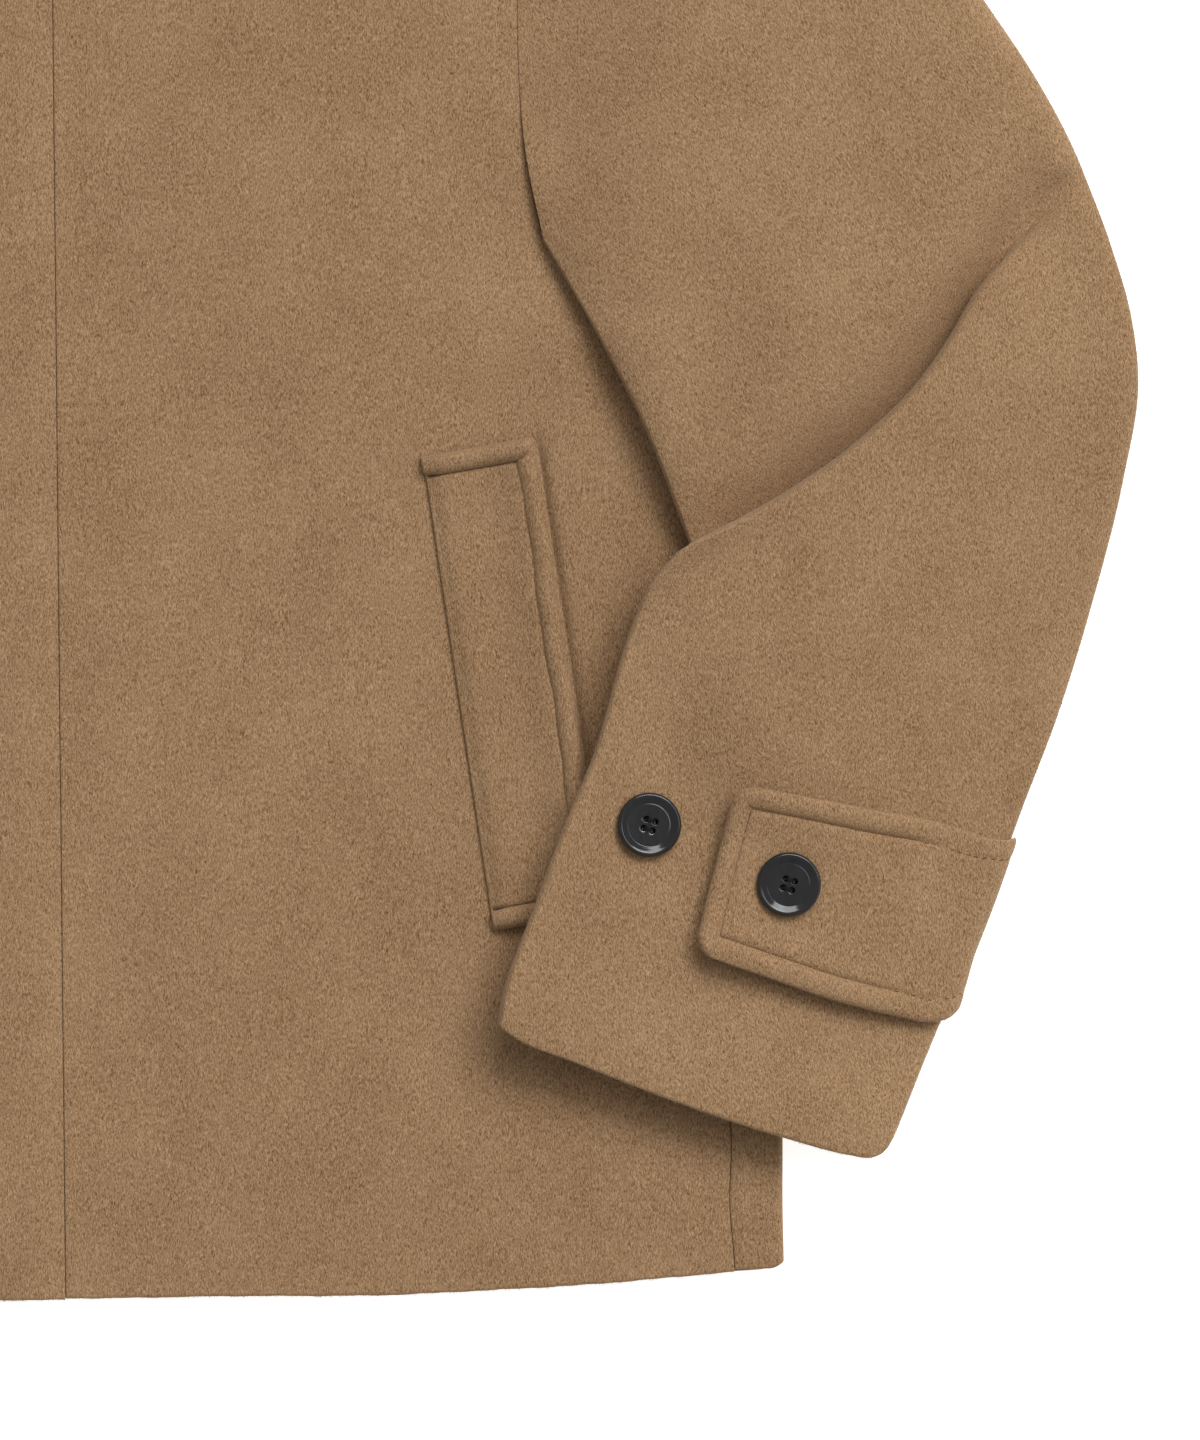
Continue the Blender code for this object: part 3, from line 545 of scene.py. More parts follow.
def front_plan(x_from, share):
    """Plan of a front from x_from to the side seam and the armhole."""
    neck = neck_curve(x_from, NECK_POINT[0])
    straight = patch(
        hem_curve(x_from, SIDE_SEAM_X - SEAM / 2),
        joined(neck, line(NECK_POINT, SHOULDER), share),
        line((x_from, hem(x_from)), neck(0.0)),
        body_side(SIDE_SEAM_X - SEAM / 2, UNDERARM[1], ARMHOLE_HIDDEN[::-1]),
    )

    def at(u, v):
        made = straight(u, v)
        made[..., 0] += seam_wave(made[..., 1]) * smooth((made[..., 0] - SIDE_SEAM_X) / SEAM_GIVE + 1)
        return made

    return at


def beside(points, path):
    """Distance in plan from each point to a path of straight lengths."""
    path = np.array(path, float)
    start, edge = path[:-1], np.diff(path, axis=0)
    p = points[..., None, :2]
    t = np.clip(((p - start) * edge).sum(-1) / np.maximum((edge ** 2).sum(-1), 1e-12), 0, 1)
    return np.linalg.norm(p - start - t[..., None] * edge, axis=-1).min(-1)


def groove(points, path, depth, width):
    """Bell-shaped dip along a path, where a thread pulls the cloth down."""
    return -depth * np.exp(-(beside(points, path) / width) ** 2)


def pulled(distance, depth=0.0003, run=0.004):
    """Cloth drawn down beside a seam: an eased dip that is gone at the run."""
    return -depth * (1 - smooth(distance / run))


v = stations([0.02, SIDE_SHARE, armhole_share], [10, 100, 14, 70], 0.0020, 0.0010)
u = stations([0.05, NECK_SHARE, 0.69, 0.84, 0.92], [10, 24, 28, 46, 8, 18], 0.0050, 0.0050)
plan = front_plan(BAND_SEAM_X + SEAM / 2, NECK_SHARE)(u[None, :], v[:, None])
run = travelled(plan, 1)
height = front_under(plan) + lap(plan[..., 0]) + CLOTH / 2 + groove(plan, ARMHOLE_STITCH, *ARMHOLE_GROOVE)
height = height + pulled(run) + pulled(run[:, -1:] - run) + groove(plan, POCKET_SLIT, *POCKET_GROOVE)
middle = raised(plan, height)
over, under = sheet_faces(middle, CLOTH / 2, SEAM_ROUND, SEAM_ROUND, FREE_ROUND, SEAM_ROUND)
front_left = shell("front_left_panel", over, under, wool)
declare(front_left, "front_left", flat=(0.245, 0.690), area=0.137, held="laid", rests_on=[back])
rims.append((middle[0], middle[6]))

u = stations([RIGHT_NECK_SHARE, 0.75, 0.87, 0.92], [34, 28, 46, 6, 14], 0.0043, 0.0040)
plan = front_plan(FRONT_EDGE_X, RIGHT_NECK_SHARE)(u[None, :], v[:, None])
run = travelled(plan, 1)
height = front_under(plan) + CLOTH / 2 + groove(plan, ARMHOLE_STITCH, *ARMHOLE_GROOVE)
height = height + groove(plan, POCKET_SLIT, *POCKET_GROOVE)
middle = raised(plan, height + pulled(run[:, -1:] - run))
over, under = sheet_faces(middle, CLOTH / 2, FREE_ROUND, SEAM_ROUND, FREE_ROUND, SEAM_ROUND)
front_right = shell("front_right_panel", over, under, wool, side=-1)
declare(front_right, "front_right", flat=(0.305, 0.690), area=0.172, held="laid", rests_on=[back])

band_x = BAND_SEAM_X - SEAM / 2
neck = neck_curve(FRONT_EDGE_X, band_x)
band_plan = patch(
    lambda t: hem_curve(FRONT_EDGE_X, band_x)(t) - (0, BAND_DROP),
    neck,
    line((FRONT_EDGE_X, hem(FRONT_EDGE_X) - BAND_DROP), neck(0.0)),
    line((band_x, hem(band_x) - BAND_DROP), neck(1.0)),
)
u = stations([0.75], [16, 12], 0.022, 0.020)
v = stations([0.03], [10, 150], 0.0022, 0.0012)
plan = band_plan(u[None, :], v[:, None])
run = travelled(plan, 1)
middle = raised(plan, front_under(plan) + lap(plan[..., 0]) + CLOTH / 2 + pulled(run[:, -1:] - run))
over, under = sheet_faces(middle, CLOTH / 2, FREE_ROUND, SEAM_ROUND, FREE_ROUND, SEAM_ROUND)
band = shell("front_band", over, under, wool)
declare(band, "front_band_left", flat=(0.060, 0.596), held="laid", rests_on=[front_right])
rims.append((middle[0], middle[6]))


# Collar ---------------------------------------------------------------------------------------------------
# Stand and fall cut in one from the same wool, in three stretches: the two fronts lie folded over on the neck
# seam and bend down past the shoulders, and the back stretch lies folded under the neck.

HANDS = ((1, "left"), (-1, "right"))      # the wearer's, with the sign of x
COLLAR_TURN = 0.0020      # half the height between the two layers, at mid cloth
COLLAR_OVER = 0.0045      # the leaves bend down past the shoulders round this radius
# neck seam x, y, roll x, y, free edge x, y
COLLAR_FRONT = (
    (0.0016, 0.5914, 0.0016, 0.6130, 0.0560, 0.5330), (0.0225, 0.5945, 0.0225, 0.6175, 0.0770, 0.5440),
    (0.0428, 0.6038, 0.0425, 0.6275, 0.0960, 0.5610), (0.0596, 0.6202, 0.0588, 0.6430, 0.1110, 0.5830),
    (0.0724, 0.6390, 0.0705, 0.6615, 0.1230, 0.6100), (0.0795, 0.6605, 0.0775, 0.6800, 0.1330, 0.6380),
    (0.0828, 0.6830, 0.0815, 0.6965, 0.1400, 0.6650),
)
COLLAR_BACK = (
    (0.0000, 0.6652, 0.0000, 0.7108, 0.0000, 0.6500), (0.0290, 0.6668, 0.0290, 0.7099, 0.0410, 0.6510),
    (0.0550, 0.6715, 0.0540, 0.7067, 0.0810, 0.6535), (0.0730, 0.6775, 0.0715, 0.7020, 0.1090, 0.6575),
    (0.0805, 0.6820, 0.0785, 0.6978, 0.1280, 0.6600),
)


def hairpin(table, places):
    """Sections of a folded collar: straight from the seam to the roll, half round it, and straight back to the
    free edge. Returns the plan and the turn, -1 in the under layer and 1 in the upper one."""
    rows = curve(table)(places)
    seam, roll, edge = rows[:, 0:2], rows[:, 2:4], rows[:, 4:6]
    bend = np.radians(np.linspace(-80, 80, 13))
    away = (edge - roll) / np.linalg.norm(edge - roll, axis=-1)[:, None]
    start = roll + away * COLLAR_TURN
    stand = stations([], [10], 0.03)[None, :, None]
    leaf = stations([], [24], 0, 0.02)[None, :, None]
    around = start[:, None] - away[:, None] * (COLLAR_TURN * np.cos(bend))[None, :, None]
    below = seam[:, None] + (start - seam)[:, None] * stand
    above = start[:, None] + (edge - start)[:, None] * leaf
    side = np.concatenate([-np.ones(stand.size), np.sin(bend), np.ones(leaf.size)])
    return np.concatenate([below, around, above], axis=1), side


plan, side = hairpin(COLLAR_FRONT, stations([], [60], 0.005))
middle_z = front_under(plan) + lap(plan[..., 0]) + CLOTH / 2 + COLLAR_TURN
middle = raised(plan, middle_z + COLLAR_TURN * side)
bend = np.radians([15, 30, 45, 60, 72, 80, 86, 90])
shoulder = np.array([NECK_POINT[1] - SHOULDER[1], SHOULDER[0] - NECK_POINT[0]])
shoulder = shoulder / np.linalg.norm(shoulder)
ends = np.repeat(middle[-1:], len(bend), axis=0)
ends[..., :2] += shoulder * (COLLAR_OVER * np.sin(bend))[:, None, None]
ends[..., 2] -= (COLLAR_OVER * (1 - np.cos(bend)))[:, None]
middle = np.concatenate([middle, ends])
over, under = sheet_faces(middle, CLOTH / 2, SEAM_ROUND, FREE_ROUND, FREE_ROUND, SEAM_ROUND)
for sign, hand in HANDS:
    leaf = shell(f"collar_{hand}_leaf", over, under, wool, side=sign)
    declare(leaf, f"collar_{hand}", flat=(0.125, 0.160), area=0.0165, held="folded",
            rests_on=[front_left, front_right])

plan, side = hairpin(COLLAR_BACK, stations([], [40], 0.0, 0.008))
half_collar = raised(plan, CLOTH / 2 + COLLAR_TURN * (1 - side))
middle = np.concatenate([half_collar[:0:-1] * (-1, 1, 1), half_collar])
over, under = sheet_faces(middle, CLOTH / 2, SEAM_ROUND, FREE_ROUND, SEAM_ROUND, SEAM_ROUND)
collar = shell("collar_back_leaf", over, under, wool)
declare(collar, "collar_back", flat=(0.260, 0.110), area=0.0205, held="folded", rests_on=["floor"])


# Pocket welts ---------------------------------------------------------------------------------------------
# A slanted strip of double cloth on each front. Its inner edge is sewn flat, its outer edge is the free pocket
# mouth with a line of topstitching beside it, and both ends are caught down by a deep stitch line.

DOUBLE = 0.0034           # pressed double cloth
WELT_OUTLINE = ((0.1702, 0.3053), (0.1942, 0.1326), (0.2345, 0.1395), (0.2107, 0.3120))
WELT_WIDTH = 0.0410
WELT_LENGTH = 0.1744
WELT_MOUTH = 0.0045       # how far the free edge stands off the front
MOUTH_RUN = 0.022         # and the width over which it rises
SEWN_SHARE = 0.45         # share of the thickness at the sewn edge
SEWN_RUN = 0.007
ROLL_PUFF = 0.0012        # the rolls beyond the end stitches are this much fuller each way
MOUTH_PUFF = 0.0007
END_ROLL = 0.0072         # cloth beyond the stitch line at each end
MOUTH_STITCH = 0.0067     # stitch line in from the free edge
STITCH_IN = 0.0015        # the end stitch lines keep this far from the edges
HOOK = (0.0085, 0.0075, 0.0058)   # the upper one turns up: its start in from the edge, its width and its rise
END_GROOVE = 0.0011
MOUTH_GROOVE = (0.00050, 0.00015)     # at the lower and at the upper end
WELT_GROOVE_WIDTH = 0.0010
WELT_POKE = 0.0009        # the upper roll pokes out past the sewn edge
WELT_WAVES = ((0.00045, 96, 0.8), (0.00025, 251, 0.0))
WELT_ROUNDS = ((0.0012, 0.2), (0.0026, 0.0), (0.0028, 0.0), (0.0028, 0.0))
WELT_LEAN = 0.10

top_in, low_in, low_out, top_out = np.array(WELT_OUTLINE)
welt_plan = patch(line(low_in, low_out), line(top_in, top_out), line(low_in, top_in), line(low_out, top_out))


def on_welt(across, along):
    """Plan point so far from the sewn edge and from the lower end, in metres."""
    return welt_plan(np.asarray(across, float) / WELT_WIDTH, np.asarray(along, float) / WELT_LENGTH)


quarter_turn = np.linspace(0, 1, 9) * np.pi / 2
top_line = WELT_LENGTH - END_ROLL
low_stitch = np.array([[STITCH_IN, WELT_WIDTH - STITCH_IN], [END_ROLL, END_ROLL]])
top_stitch = np.array([
    [STITCH_IN, 0.020, *(WELT_WIDTH - HOOK[0] + HOOK[1] * np.sin(quarter_turn))],
    [top_line, top_line, *(top_line + HOOK[2] * (1 - np.cos(quarter_turn)))],
])
mouth_stitch = np.array([[WELT_WIDTH - MOUTH_STITCH] * 2, [END_ROLL, top_line - 0.0005]])


def welt_sheet(across, along):
    """Middle of the welt on the front and half its thickness: thin at the sewn edge, puffed in sine rolls beyond
    the stitch lines, grooved along them, and lifted at the mouth."""
    plan = on_welt(across, along)
    from_end = np.minimum(along, WELT_LENGTH - along)
    rolls = ROLL_PUFF * np.sin(np.pi * np.clip(from_end / END_ROLL, 0, 1))
    mouth = MOUTH_PUFF * np.sin(np.pi * np.clip((WELT_WIDTH - across) / MOUTH_STITCH, 0, 1))
    half = DOUBLE / 2 * (SEWN_SHARE + (1 - SEWN_SHARE) * smooth(across / SEWN_RUN)) + np.maximum(rolls, mouth)
    drawn = MOUTH_GROOVE[0] + (MOUTH_GROOVE[1] - MOUTH_GROOVE[0]) * along / WELT_LENGTH
    for stitches, depth in ((low_stitch, END_GROOVE), (top_stitch, END_GROOVE), (mouth_stitch, drawn)):
        half = half + groove(plan, on_welt(*stitches), depth, WELT_GROOVE_WIDTH)
    lift = WELT_MOUTH * smooth(1 - (WELT_WIDTH - across) / MOUTH_RUN)
    poke = WELT_POKE * smooth(1 - across / 0.008) * smooth((along - top_line) / 0.002)
    wave = waves(along, WELT_WAVES) * smooth(across / 0.035 - 0.2)
    plan = plan + (wave - poke)[..., None] * np.array([1.0, 0.1])
    return raised(plan, front_under(plan) + CLOTH + SEAM + half + lift), half


u = stations([0.12, 0.8], [7, 26, 12], 0.040, 0.045)
v = stations([0.10, 0.90], [26, 90, 26], 0.010, 0.010)
middle, half = welt_sheet(*np.broadcast_arrays(WELT_WIDTH * u[None, :], WELT_LENGTH * v[:, None]))
over, under = sheet_faces(middle, half, *WELT_ROUNDS)
rims += [(middle[:, -1], middle[:, -8]), (middle[0], middle[8]), (middle[-1], middle[-9])]
fronts = {"left": front_left, "right": front_right}
for sign, hand in HANDS:
    welt = shell(f"pocket_welt_{hand}", over, under, wool, WELT_LEAN, side=sign)
    declare(welt, f"welt_{hand}", flat=(0.041, 0.1745), held="laid", rests_on=[fronts[hand]])


# Sleeves --------------------------------------------------------------------------------------------------
# Each is a tube of the same wool, flattened and sewn into the armhole. It is bent at the elbow: a soft valley
# from the outer edge that deepens until the forearm folds right over the upper sleeve. The cuff is open.

LOOSE = 0.0009            # gap under a sleeve
FLOOR_GAP = 0.0002        # least height of its underside over the floor
TOP_LEAST = 0.0030        # and of its upper face
SLOPE_RUN = 0.090         # distance over which a sleeve comes down from the body to the floor
COVER_RUN = 0.075         # and beside the fold that it covers
WELT_RUN = 0.085          # and beside the welt
ARM_RUN = 0.005           # its underside hangs straight down behind the body's edge at the underarm
UNDER_RUNS = (0.016, 0.020, 0.012)    # and that of the forearm, beside the welt, the fold and the body
MEETING = 0.0030          # roundness where two of these meet
SLEEVE_EDGE = 0.0038      # half the thickness of the flattened tube at its edges
SLEEVE_CROWN = 0.0014     # and this much more in the middle
SLEEVE_ROLL = 0.0095      # width of the rounded outer edge
INNER_ROLL = 0.0022       # and of the inner one
SEAM_LEAST = 0.0017       # least half thickness at the armhole seam
SEAM_RISE = 0.080         # length over which it gets full from there
UPPER_FULL = 0.0026       # the upper sleeve is this much fuller than the forearm
ELBOW_FULL = 0.0016       # and this much more at the elbow
PRESSED = 0.0024          # half the thickness where the forearm lies on it
PRESS_RUN = 0.024
CUFF_FULL = (0.0036, 0.05)    # the cuff is this much fuller, over this length
VALLEY_ABOVE = 0.004      # the soft part of the elbow's crease runs out this far on the upper sleeve
VALLEY_BELOW = 0.016      # and this far on the forearm
VALLEY_DEPTH = 0.0030
VALLEY_BEND = 0.020       # length of the tangents that lead into it
NOSE = 0.0045             # roundness of the forearm where it folds over
NOSE_MORE = 0.0080        # and this much more towards the outer edge
NOSE_HALF = 0.0052        # half its thickness there
NOSE_BACK = 0.035         # length over which it gets back to the forearm's
NOSE_GAP = 0.0008         # between the nose and the upper sleeve
NOSE_LINE = 0.45          # share of a line over the elbow that runs under the nose
INNER_LIFT = 0.0052       # how far the inner edge of the upper sleeve stands off the body
FORE_LIFT = 0.0056        # and that of the forearm
# shares of the width from the outer edge: where the tuck under the forearm starts, the start and run of the fold
# and of its narrow nose, and where the lift of the inner edge starts
TUCK_FROM = 0.12
FOLD_SPAN = (0.06, 0.28)
NOSE_SPAN = (0.10, 0.35)
LIFT_FROM = 0.70          # on the upper sleeve
HANG_FROM = 0.92          # on its hanging underside
FORE_LIFT_FROM = 0.84     # on the forearm
UPPER_LENGTHS = (0.262, 0.189)    # at the outer and at the inner edge
FORE_LENGTHS = (0.385, 0.200)
SLEEVE_LEANS = (0.35, 0.12)       # of the nap, on the upper sleeve and on the forearm
UPPER_OUTER = (
    (0.2497, 0.6250), (0.2850, 0.5890), (0.3180, 0.5500), (0.3480, 0.5110), (0.3763, 0.4694),
    (0.3953, 0.4401), (0.4070, 0.4180), (0.4105, 0.4100),
)
UPPER_INNER = (
    (0.2147, 0.3837), (0.2329, 0.3512), (0.2529, 0.3103), (0.2663, 0.2741), (0.2800, 0.2400), (0.2940, 0.2120),
)
FORE_FOLD = (
    (0.4105, 0.4100), (0.3989, 0.4025), (0.3905, 0.3928), (0.3819, 0.3804), (0.3715, 0.3625), (0.3600, 0.3432),
    (0.3478, 0.3271), (0.3309, 0.3112), (0.3196, 0.3022), (0.3055, 0.2930), (0.2915, 0.2850),
    (0.2774, 0.2779), (0.2663, 0.2730),
)
TUCKED = (0.0277, -0.0610)    # how far the upper sleeve reaches under the forearm at its inner edge
FORE_CUFF = (
    (0.3384, 0.0548), (0.3352, 0.0504), (0.3300, 0.0489), (0.3230, 0.0500), (0.2987, 0.0567), (0.2693, 0.0665),
    (0.2425, 0.0768), (0.2224, 0.0850), (0.2037, 0.0926), (0.1952, 0.0985),
)
FORE_OUTER = (
    (0.4105, 0.4100), (0.4209, 0.3817), (0.4289, 0.3525), (0.4310, 0.3310), (0.4251, 0.2943), (0.4137, 0.2508),
    (0.3998, 0.2073), (0.3865, 0.1735), (0.3740, 0.1395), (0.3600, 0.1058), (0.3500, 0.0825), (0.3417, 0.0624),
    (0.3384, 0.0548),
)
FORE_INNER = (
    (0.2663, 0.2730), (0.2523, 0.2580), (0.2460, 0.2440), (0.2302, 0.1938), (0.2215, 0.1735), (0.2096, 0.1427),
    (0.1970, 0.1079), (0.1952, 0.0985),
)
BODY_OUTLINE = np.concatenate([
    [(-0.1, -0.02), (SIDE_X, -0.02), (SIDE_X, UNDERARM[1])],
    np.array(ARMHOLE_HIDDEN)[::-1],
    [(0.1, 0.39), (-0.1, 0.39)],
])


def outside(points, outline):
    """How far each point lies outside a closed outline, 0 within it."""
    closed = np.concatenate([outline, outline[:1]])
    a, edge = closed[:-1], np.diff(closed, axis=0)
    p = points[..., None, :2]
    crossed = (a[:, 1] > p[..., 1]) != (closed[1:, 1] > p[..., 1])
    rise = np.where(edge[:, 1] == 0, 1e-9, edge[:, 1])
    within = (crossed & (p[..., 0] < a[:, 0] + (p[..., 1] - a[:, 1]) * edge[:, 0] / rise)).sum(-1) % 2 == 1
    return np.where(within, 0.0, beside(points, closed))


def upper_end(w):
    """Lower end of the upper sleeve: the fold, and from TUCK_FROM on ever further under the forearm."""
    tuck = np.clip((np.asarray(w, float) - TUCK_FROM) / (1 - TUCK_FROM), 0, 1) ** 1.5
    return curve(FORE_FOLD)(w) + tuck[..., None] * np.array(TUCKED)


def under_forearm(w_from):
    """Outline of the part of the upper sleeve that the forearm covers, from w_from to its inner edge."""
    w = np.linspace(w_from, 1.0, 28)
    return np.concatenate([curve(FORE_FOLD)(w), upper_end(w[::-1])])


tucked, covered = under_forearm(0.0), under_forearm(0.42)


def over_body(p, run=SLOPE_RUN):
    """Support under the upper sleeve: the body, then down an eased slope to the floor outside it."""
    return (front_under(p) + CLOTH + LOOSE) * smooth(1 - outside(p, BODY_OUTLINE) / run)


def over_all(p, runs=(WELT_RUN, COVER_RUN, SLOPE_RUN)):
    """Support under the forearm: the body with the welt and the covered end of the upper sleeve on it, whichever
    is higher, eased over where they meet by a hyperbola. runs says how far each takes to slope down."""
    welt = (DOUBLE + REST + WELT_MOUTH) * smooth(1.05 - outside(p, WELT_OUTLINE) / runs[0])
    fold = (4 * PRESSED + 2 * REST) * smooth(1.05 - outside(p, covered) / runs[1])
    return over_body(p, runs[2]) + (welt + fold + np.sqrt((welt - fold) ** 2 + MEETING ** 2) - MEETING) / 2


upper_plan = patch(
    lambda t: curve(ARMHOLE)(t) - (0.0003, 0), upper_end, curve(UPPER_OUTER), curve(UPPER_INNER)
)
fore_plan = patch(curve(FORE_FOLD), curve(FORE_CUFF), curve(FORE_OUTER), curve(FORE_INNER))


def plan_width(plan, s):
    """Width of a sleeve's plan at s, straight from its outer edge to its inner one."""
    return np.linalg.norm(plan(0 * s, s) - plan(0 * s + 1, s), axis=-1)


def upper_length(w):
    """Length of the upper sleeve from the outer edge, w = 0, to the inner edge, w = 1."""
    return UPPER_LENGTHS[0] + (UPPER_LENGTHS[1] - UPPER_LENGTHS[0]) * w


def fore_length(w):
    """Length of the forearm from the outer edge to the inner edge."""
    return FORE_LENGTHS[0] + (FORE_LENGTHS[1] - FORE_LENGTHS[0]) * w


def folded(w):
    """0 where the elbow is a soft valley and 1 where the forearm folds right over."""
    return smooth((w - FOLD_SPAN[0]) / FOLD_SPAN[1])


def nose_run(w):
    """Roundness of the fold across the sleeve, wider where it begins at the outer edge."""
    return NOSE + NOSE_MORE * (1 - smooth((w - NOSE_SPAN[0]) / NOSE_SPAN[1]))


def crown(w):
    """Sine arch across the sleeve, 0 at both edges."""
    return np.sin(np.pi * np.clip(w, 0, 1))


def full_half(w):
    """Half the thickness of the flattened tube across its width: a low sine crown."""
    return SLEEVE_EDGE + SLEEVE_CROWN * crown(w)


def upper_half(w, s):
    """Half the thickness of the upper sleeve: it rises from the armhole seam in an eased slope, falls ever steeper
    to the fold on a parabola, and is pressed flat under the forearm."""
    seam = upper_plan(w, np.zeros_like(s))
    least = np.maximum((front_under(seam) + CLOTH - over_body(seam)) / 2, SEAM_LEAST)
    full = full_half(w) + (UPPER_FULL + ELBOW_FULL * smooth(s)) * crown(w) ** 0.6
    half = least + (full - least) * smooth(s * upper_length(w) / SEAM_RISE)
    near_fold = np.clip(1 - outside(upper_plan(w, s), tucked) / PRESS_RUN, 0, 1) ** 2
    return half + (PRESSED - half) * near_fold * smooth((w + 0.01) / 0.12)


def fore_half(w, s):
    """Half the thickness of the forearm: a little less at the fold, and fuller at the cuff."""
    into, left = s * fore_length(w), (1 - s) * fore_length(w)
    full = full_half(w) + CUFF_FULL[0] * smooth(1 - left / CUFF_FULL[1])
    return full + (NOSE_HALF - full) * folded(w) * (1 - smooth(into / NOSE_BACK))


def upper_low(w, s, lift_from=LIFT_FROM, run=SLOPE_RUN):
    """Underside of the upper sleeve: on its support, with the inner edge standing off it between its ends."""
    ends = crown(s / 0.95) ** 0.7
    return over_body(upper_plan(w, s), run) + INNER_LIFT * smooth((w - lift_from) / (1 - lift_from)) * ends


def fore_low(w, s):
    """Underside of the forearm: on its support, with the inner edge standing off it, a little less at the cuff."""
    lift = FORE_LIFT * (1 - 0.3 * smooth(1 - (1 - s) * fore_length(w) / 0.06))
    return over_all(fore_plan(w, s)) + lift * smooth((w - FORE_LIFT_FROM) / (1 - FORE_LIFT_FROM))


def fore_sag(w, s):
    """How far the underside of the forearm sags from there onto the coat, away from its edges and its ends."""
    away = smooth((s - 0.10) / 0.15) * smooth((1 - s) / 0.15) * smooth((w - 0.10) / 0.15) * smooth((1 - w) / 0.10)
    return (fore_low(w, s) - over_all(fore_plan(w, s), UNDER_RUNS)) * away


def edge_rounds(w, width):
    """The tube's thickness runs out in a wide quarter ellipse at the outer edge and a narrow one inside."""
    return rounded(w * width, SLEEVE_ROLL) * rounded((1 - w) * width, INNER_ROLL)


def ring_places(width):
    """Places across a flattened tube of each width, closer together on a cosine in its rounded edges."""
    crowd = 1 - np.cos(np.radians([0, 12, 25, 38, 52, 66, 80]))
    first = SLEEVE_ROLL / np.asarray(width, float)[:, None]
    last = INNER_ROLL / np.asarray(width, float)[:, None]
    middle = first + (1 - first - last) * np.linspace(0, 1, 62)
    return np.concatenate([first * crowd, middle, 1 - last * crowd[::-1]], axis=1)


def unit(vectors):
    """Vectors at length 1."""
    return vectors / np.linalg.norm(vectors, axis=-1, keepdims=True)


def sleeve_faces():
    """Upper and under faces of the whole flattened sleeve, and the row of the elbow. The upper rows and the
    forearm rows are their plans at their supports. Between them each line over the elbow is a blend of two: a
    Hermite curve through a soft valley, and a pleat that turns back under the forearm and round its nose."""
    upper_s = stations([], [62], 0.006)
    fore_s = stations([0.12], [16, 84], 0.0, 0.005)
    q = np.linspace(0, 1, 42)[1:-1, None]
    upper_wide, fore_wide = plan_width(upper_plan, upper_s), plan_width(fore_plan, fore_s)
    w_up, w_fore = ring_places(upper_wide), ring_places(fore_wide)
    bend = folded(w_up[-1])
    s_up = upper_s[:, None] * (1 - VALLEY_ABOVE * (1 - folded(w_up)) / upper_length(w_up))
    ahead = (VALLEY_BELOW + (nose_run(w_fore) - VALLEY_BELOW) * folded(w_fore)) / fore_length(w_fore)
    s_fore = ahead + (1 - ahead) * fore_s[:, None]
    upper, fore = upper_plan(w_up, s_up), fore_plan(w_fore, s_fore)
    low_up, low_fore = upper_low(w_up, s_up), fore_low(w_fore, s_fore)
    hang = (low_up - upper_low(w_up, s_up, HANG_FROM, ARM_RUN)) * (1 - smooth((s_up - 0.60) / 0.35))
    top_up = raised(upper, low_up + 2 * upper_half(w_up, s_up))
    top_fore = raised(fore, low_fore + 2 * fore_half(w_fore, s_fore))

    start, end = top_up[-1], top_fore[0]
    leave = unit(top_up[-1] - top_up[-2]) * VALLEY_BEND
    onward = unit(top_fore[1] - top_fore[0])
    r = q[..., None]
    valley = (2 * r ** 3 - 3 * r ** 2 + 1) * start + (r ** 3 - 2 * r ** 2 + r) * leave
    valley = valley + (3 * r ** 2 - 2 * r ** 3) * end + (r ** 3 - r ** 2) * onward * VALLEY_BEND
    valley[..., 2] -= VALLEY_DEPTH * np.sin(np.pi * q) ** 2

    arc = np.pi * np.clip((q - NOSE_LINE) / (1 - NOSE_LINE), 0, 1)
    nose_height = (end[:, 2] - start[:, 2] - NOSE_GAP) / 2
    nose = nose_run(w_up[-1]) * (0.3 + 0.7 * rounded((1 - w_up[-1]) * upper_wide[-1], 0.012))
    back_round = unit(onward * (1, 1, 0)) * (nose * np.sin(arc))[..., None]
    pleat = start + (end - start) * smooth(q / NOSE_LINE)[..., None] - back_round
    pleat[..., 2] = start[:, 2] + NOSE_GAP * smooth(q / 0.1) + nose_height * (1 - np.cos(arc))

    over = np.concatenate([top_up, valley + (pleat - valley) * bend[:, None], top_fore])
    elbow = slice(len(upper_s), len(upper_s) + len(q))
    upright = valley[..., 2] - low_up[-1] - (low_fore[0] - low_up[-1]) * q
    upright = raised(np.zeros_like(valley[..., :2]), upright)
    pressed = facing(over)[elbow] * np.minimum(2 * PRESSED, 0.8 * nose_height)[:, None]
    turning = (bend * (1 - smooth((q - 0.78) / 0.22)))[..., None]
    under_elbow = over[elbow] - upright - (pressed - upright) * turning
    sagged = raised(fore, low_fore - fore_sag(w_fore, s_fore))
    under = np.concatenate([raised(upper, low_up - hang), under_elbow, sagged])
    over[..., 2] = np.maximum(over[..., 2], TOP_LEAST)
    under[..., 2] = np.maximum(under[..., 2], FLOOR_GAP)

    w = np.concatenate([w_up, w_up[-1] + (w_fore[0] - w_up[-1]) * q, w_fore])
    width = np.concatenate([upper_wide, np.full(len(q), upper_wide[-1]), fore_wide])[:, None]
    centre = (over + under) / 2
    half = (over - under) / 2 * edge_rounds(w, width)[..., None]
    return centre + half, centre - half, (elbow.start + elbow.stop) // 2


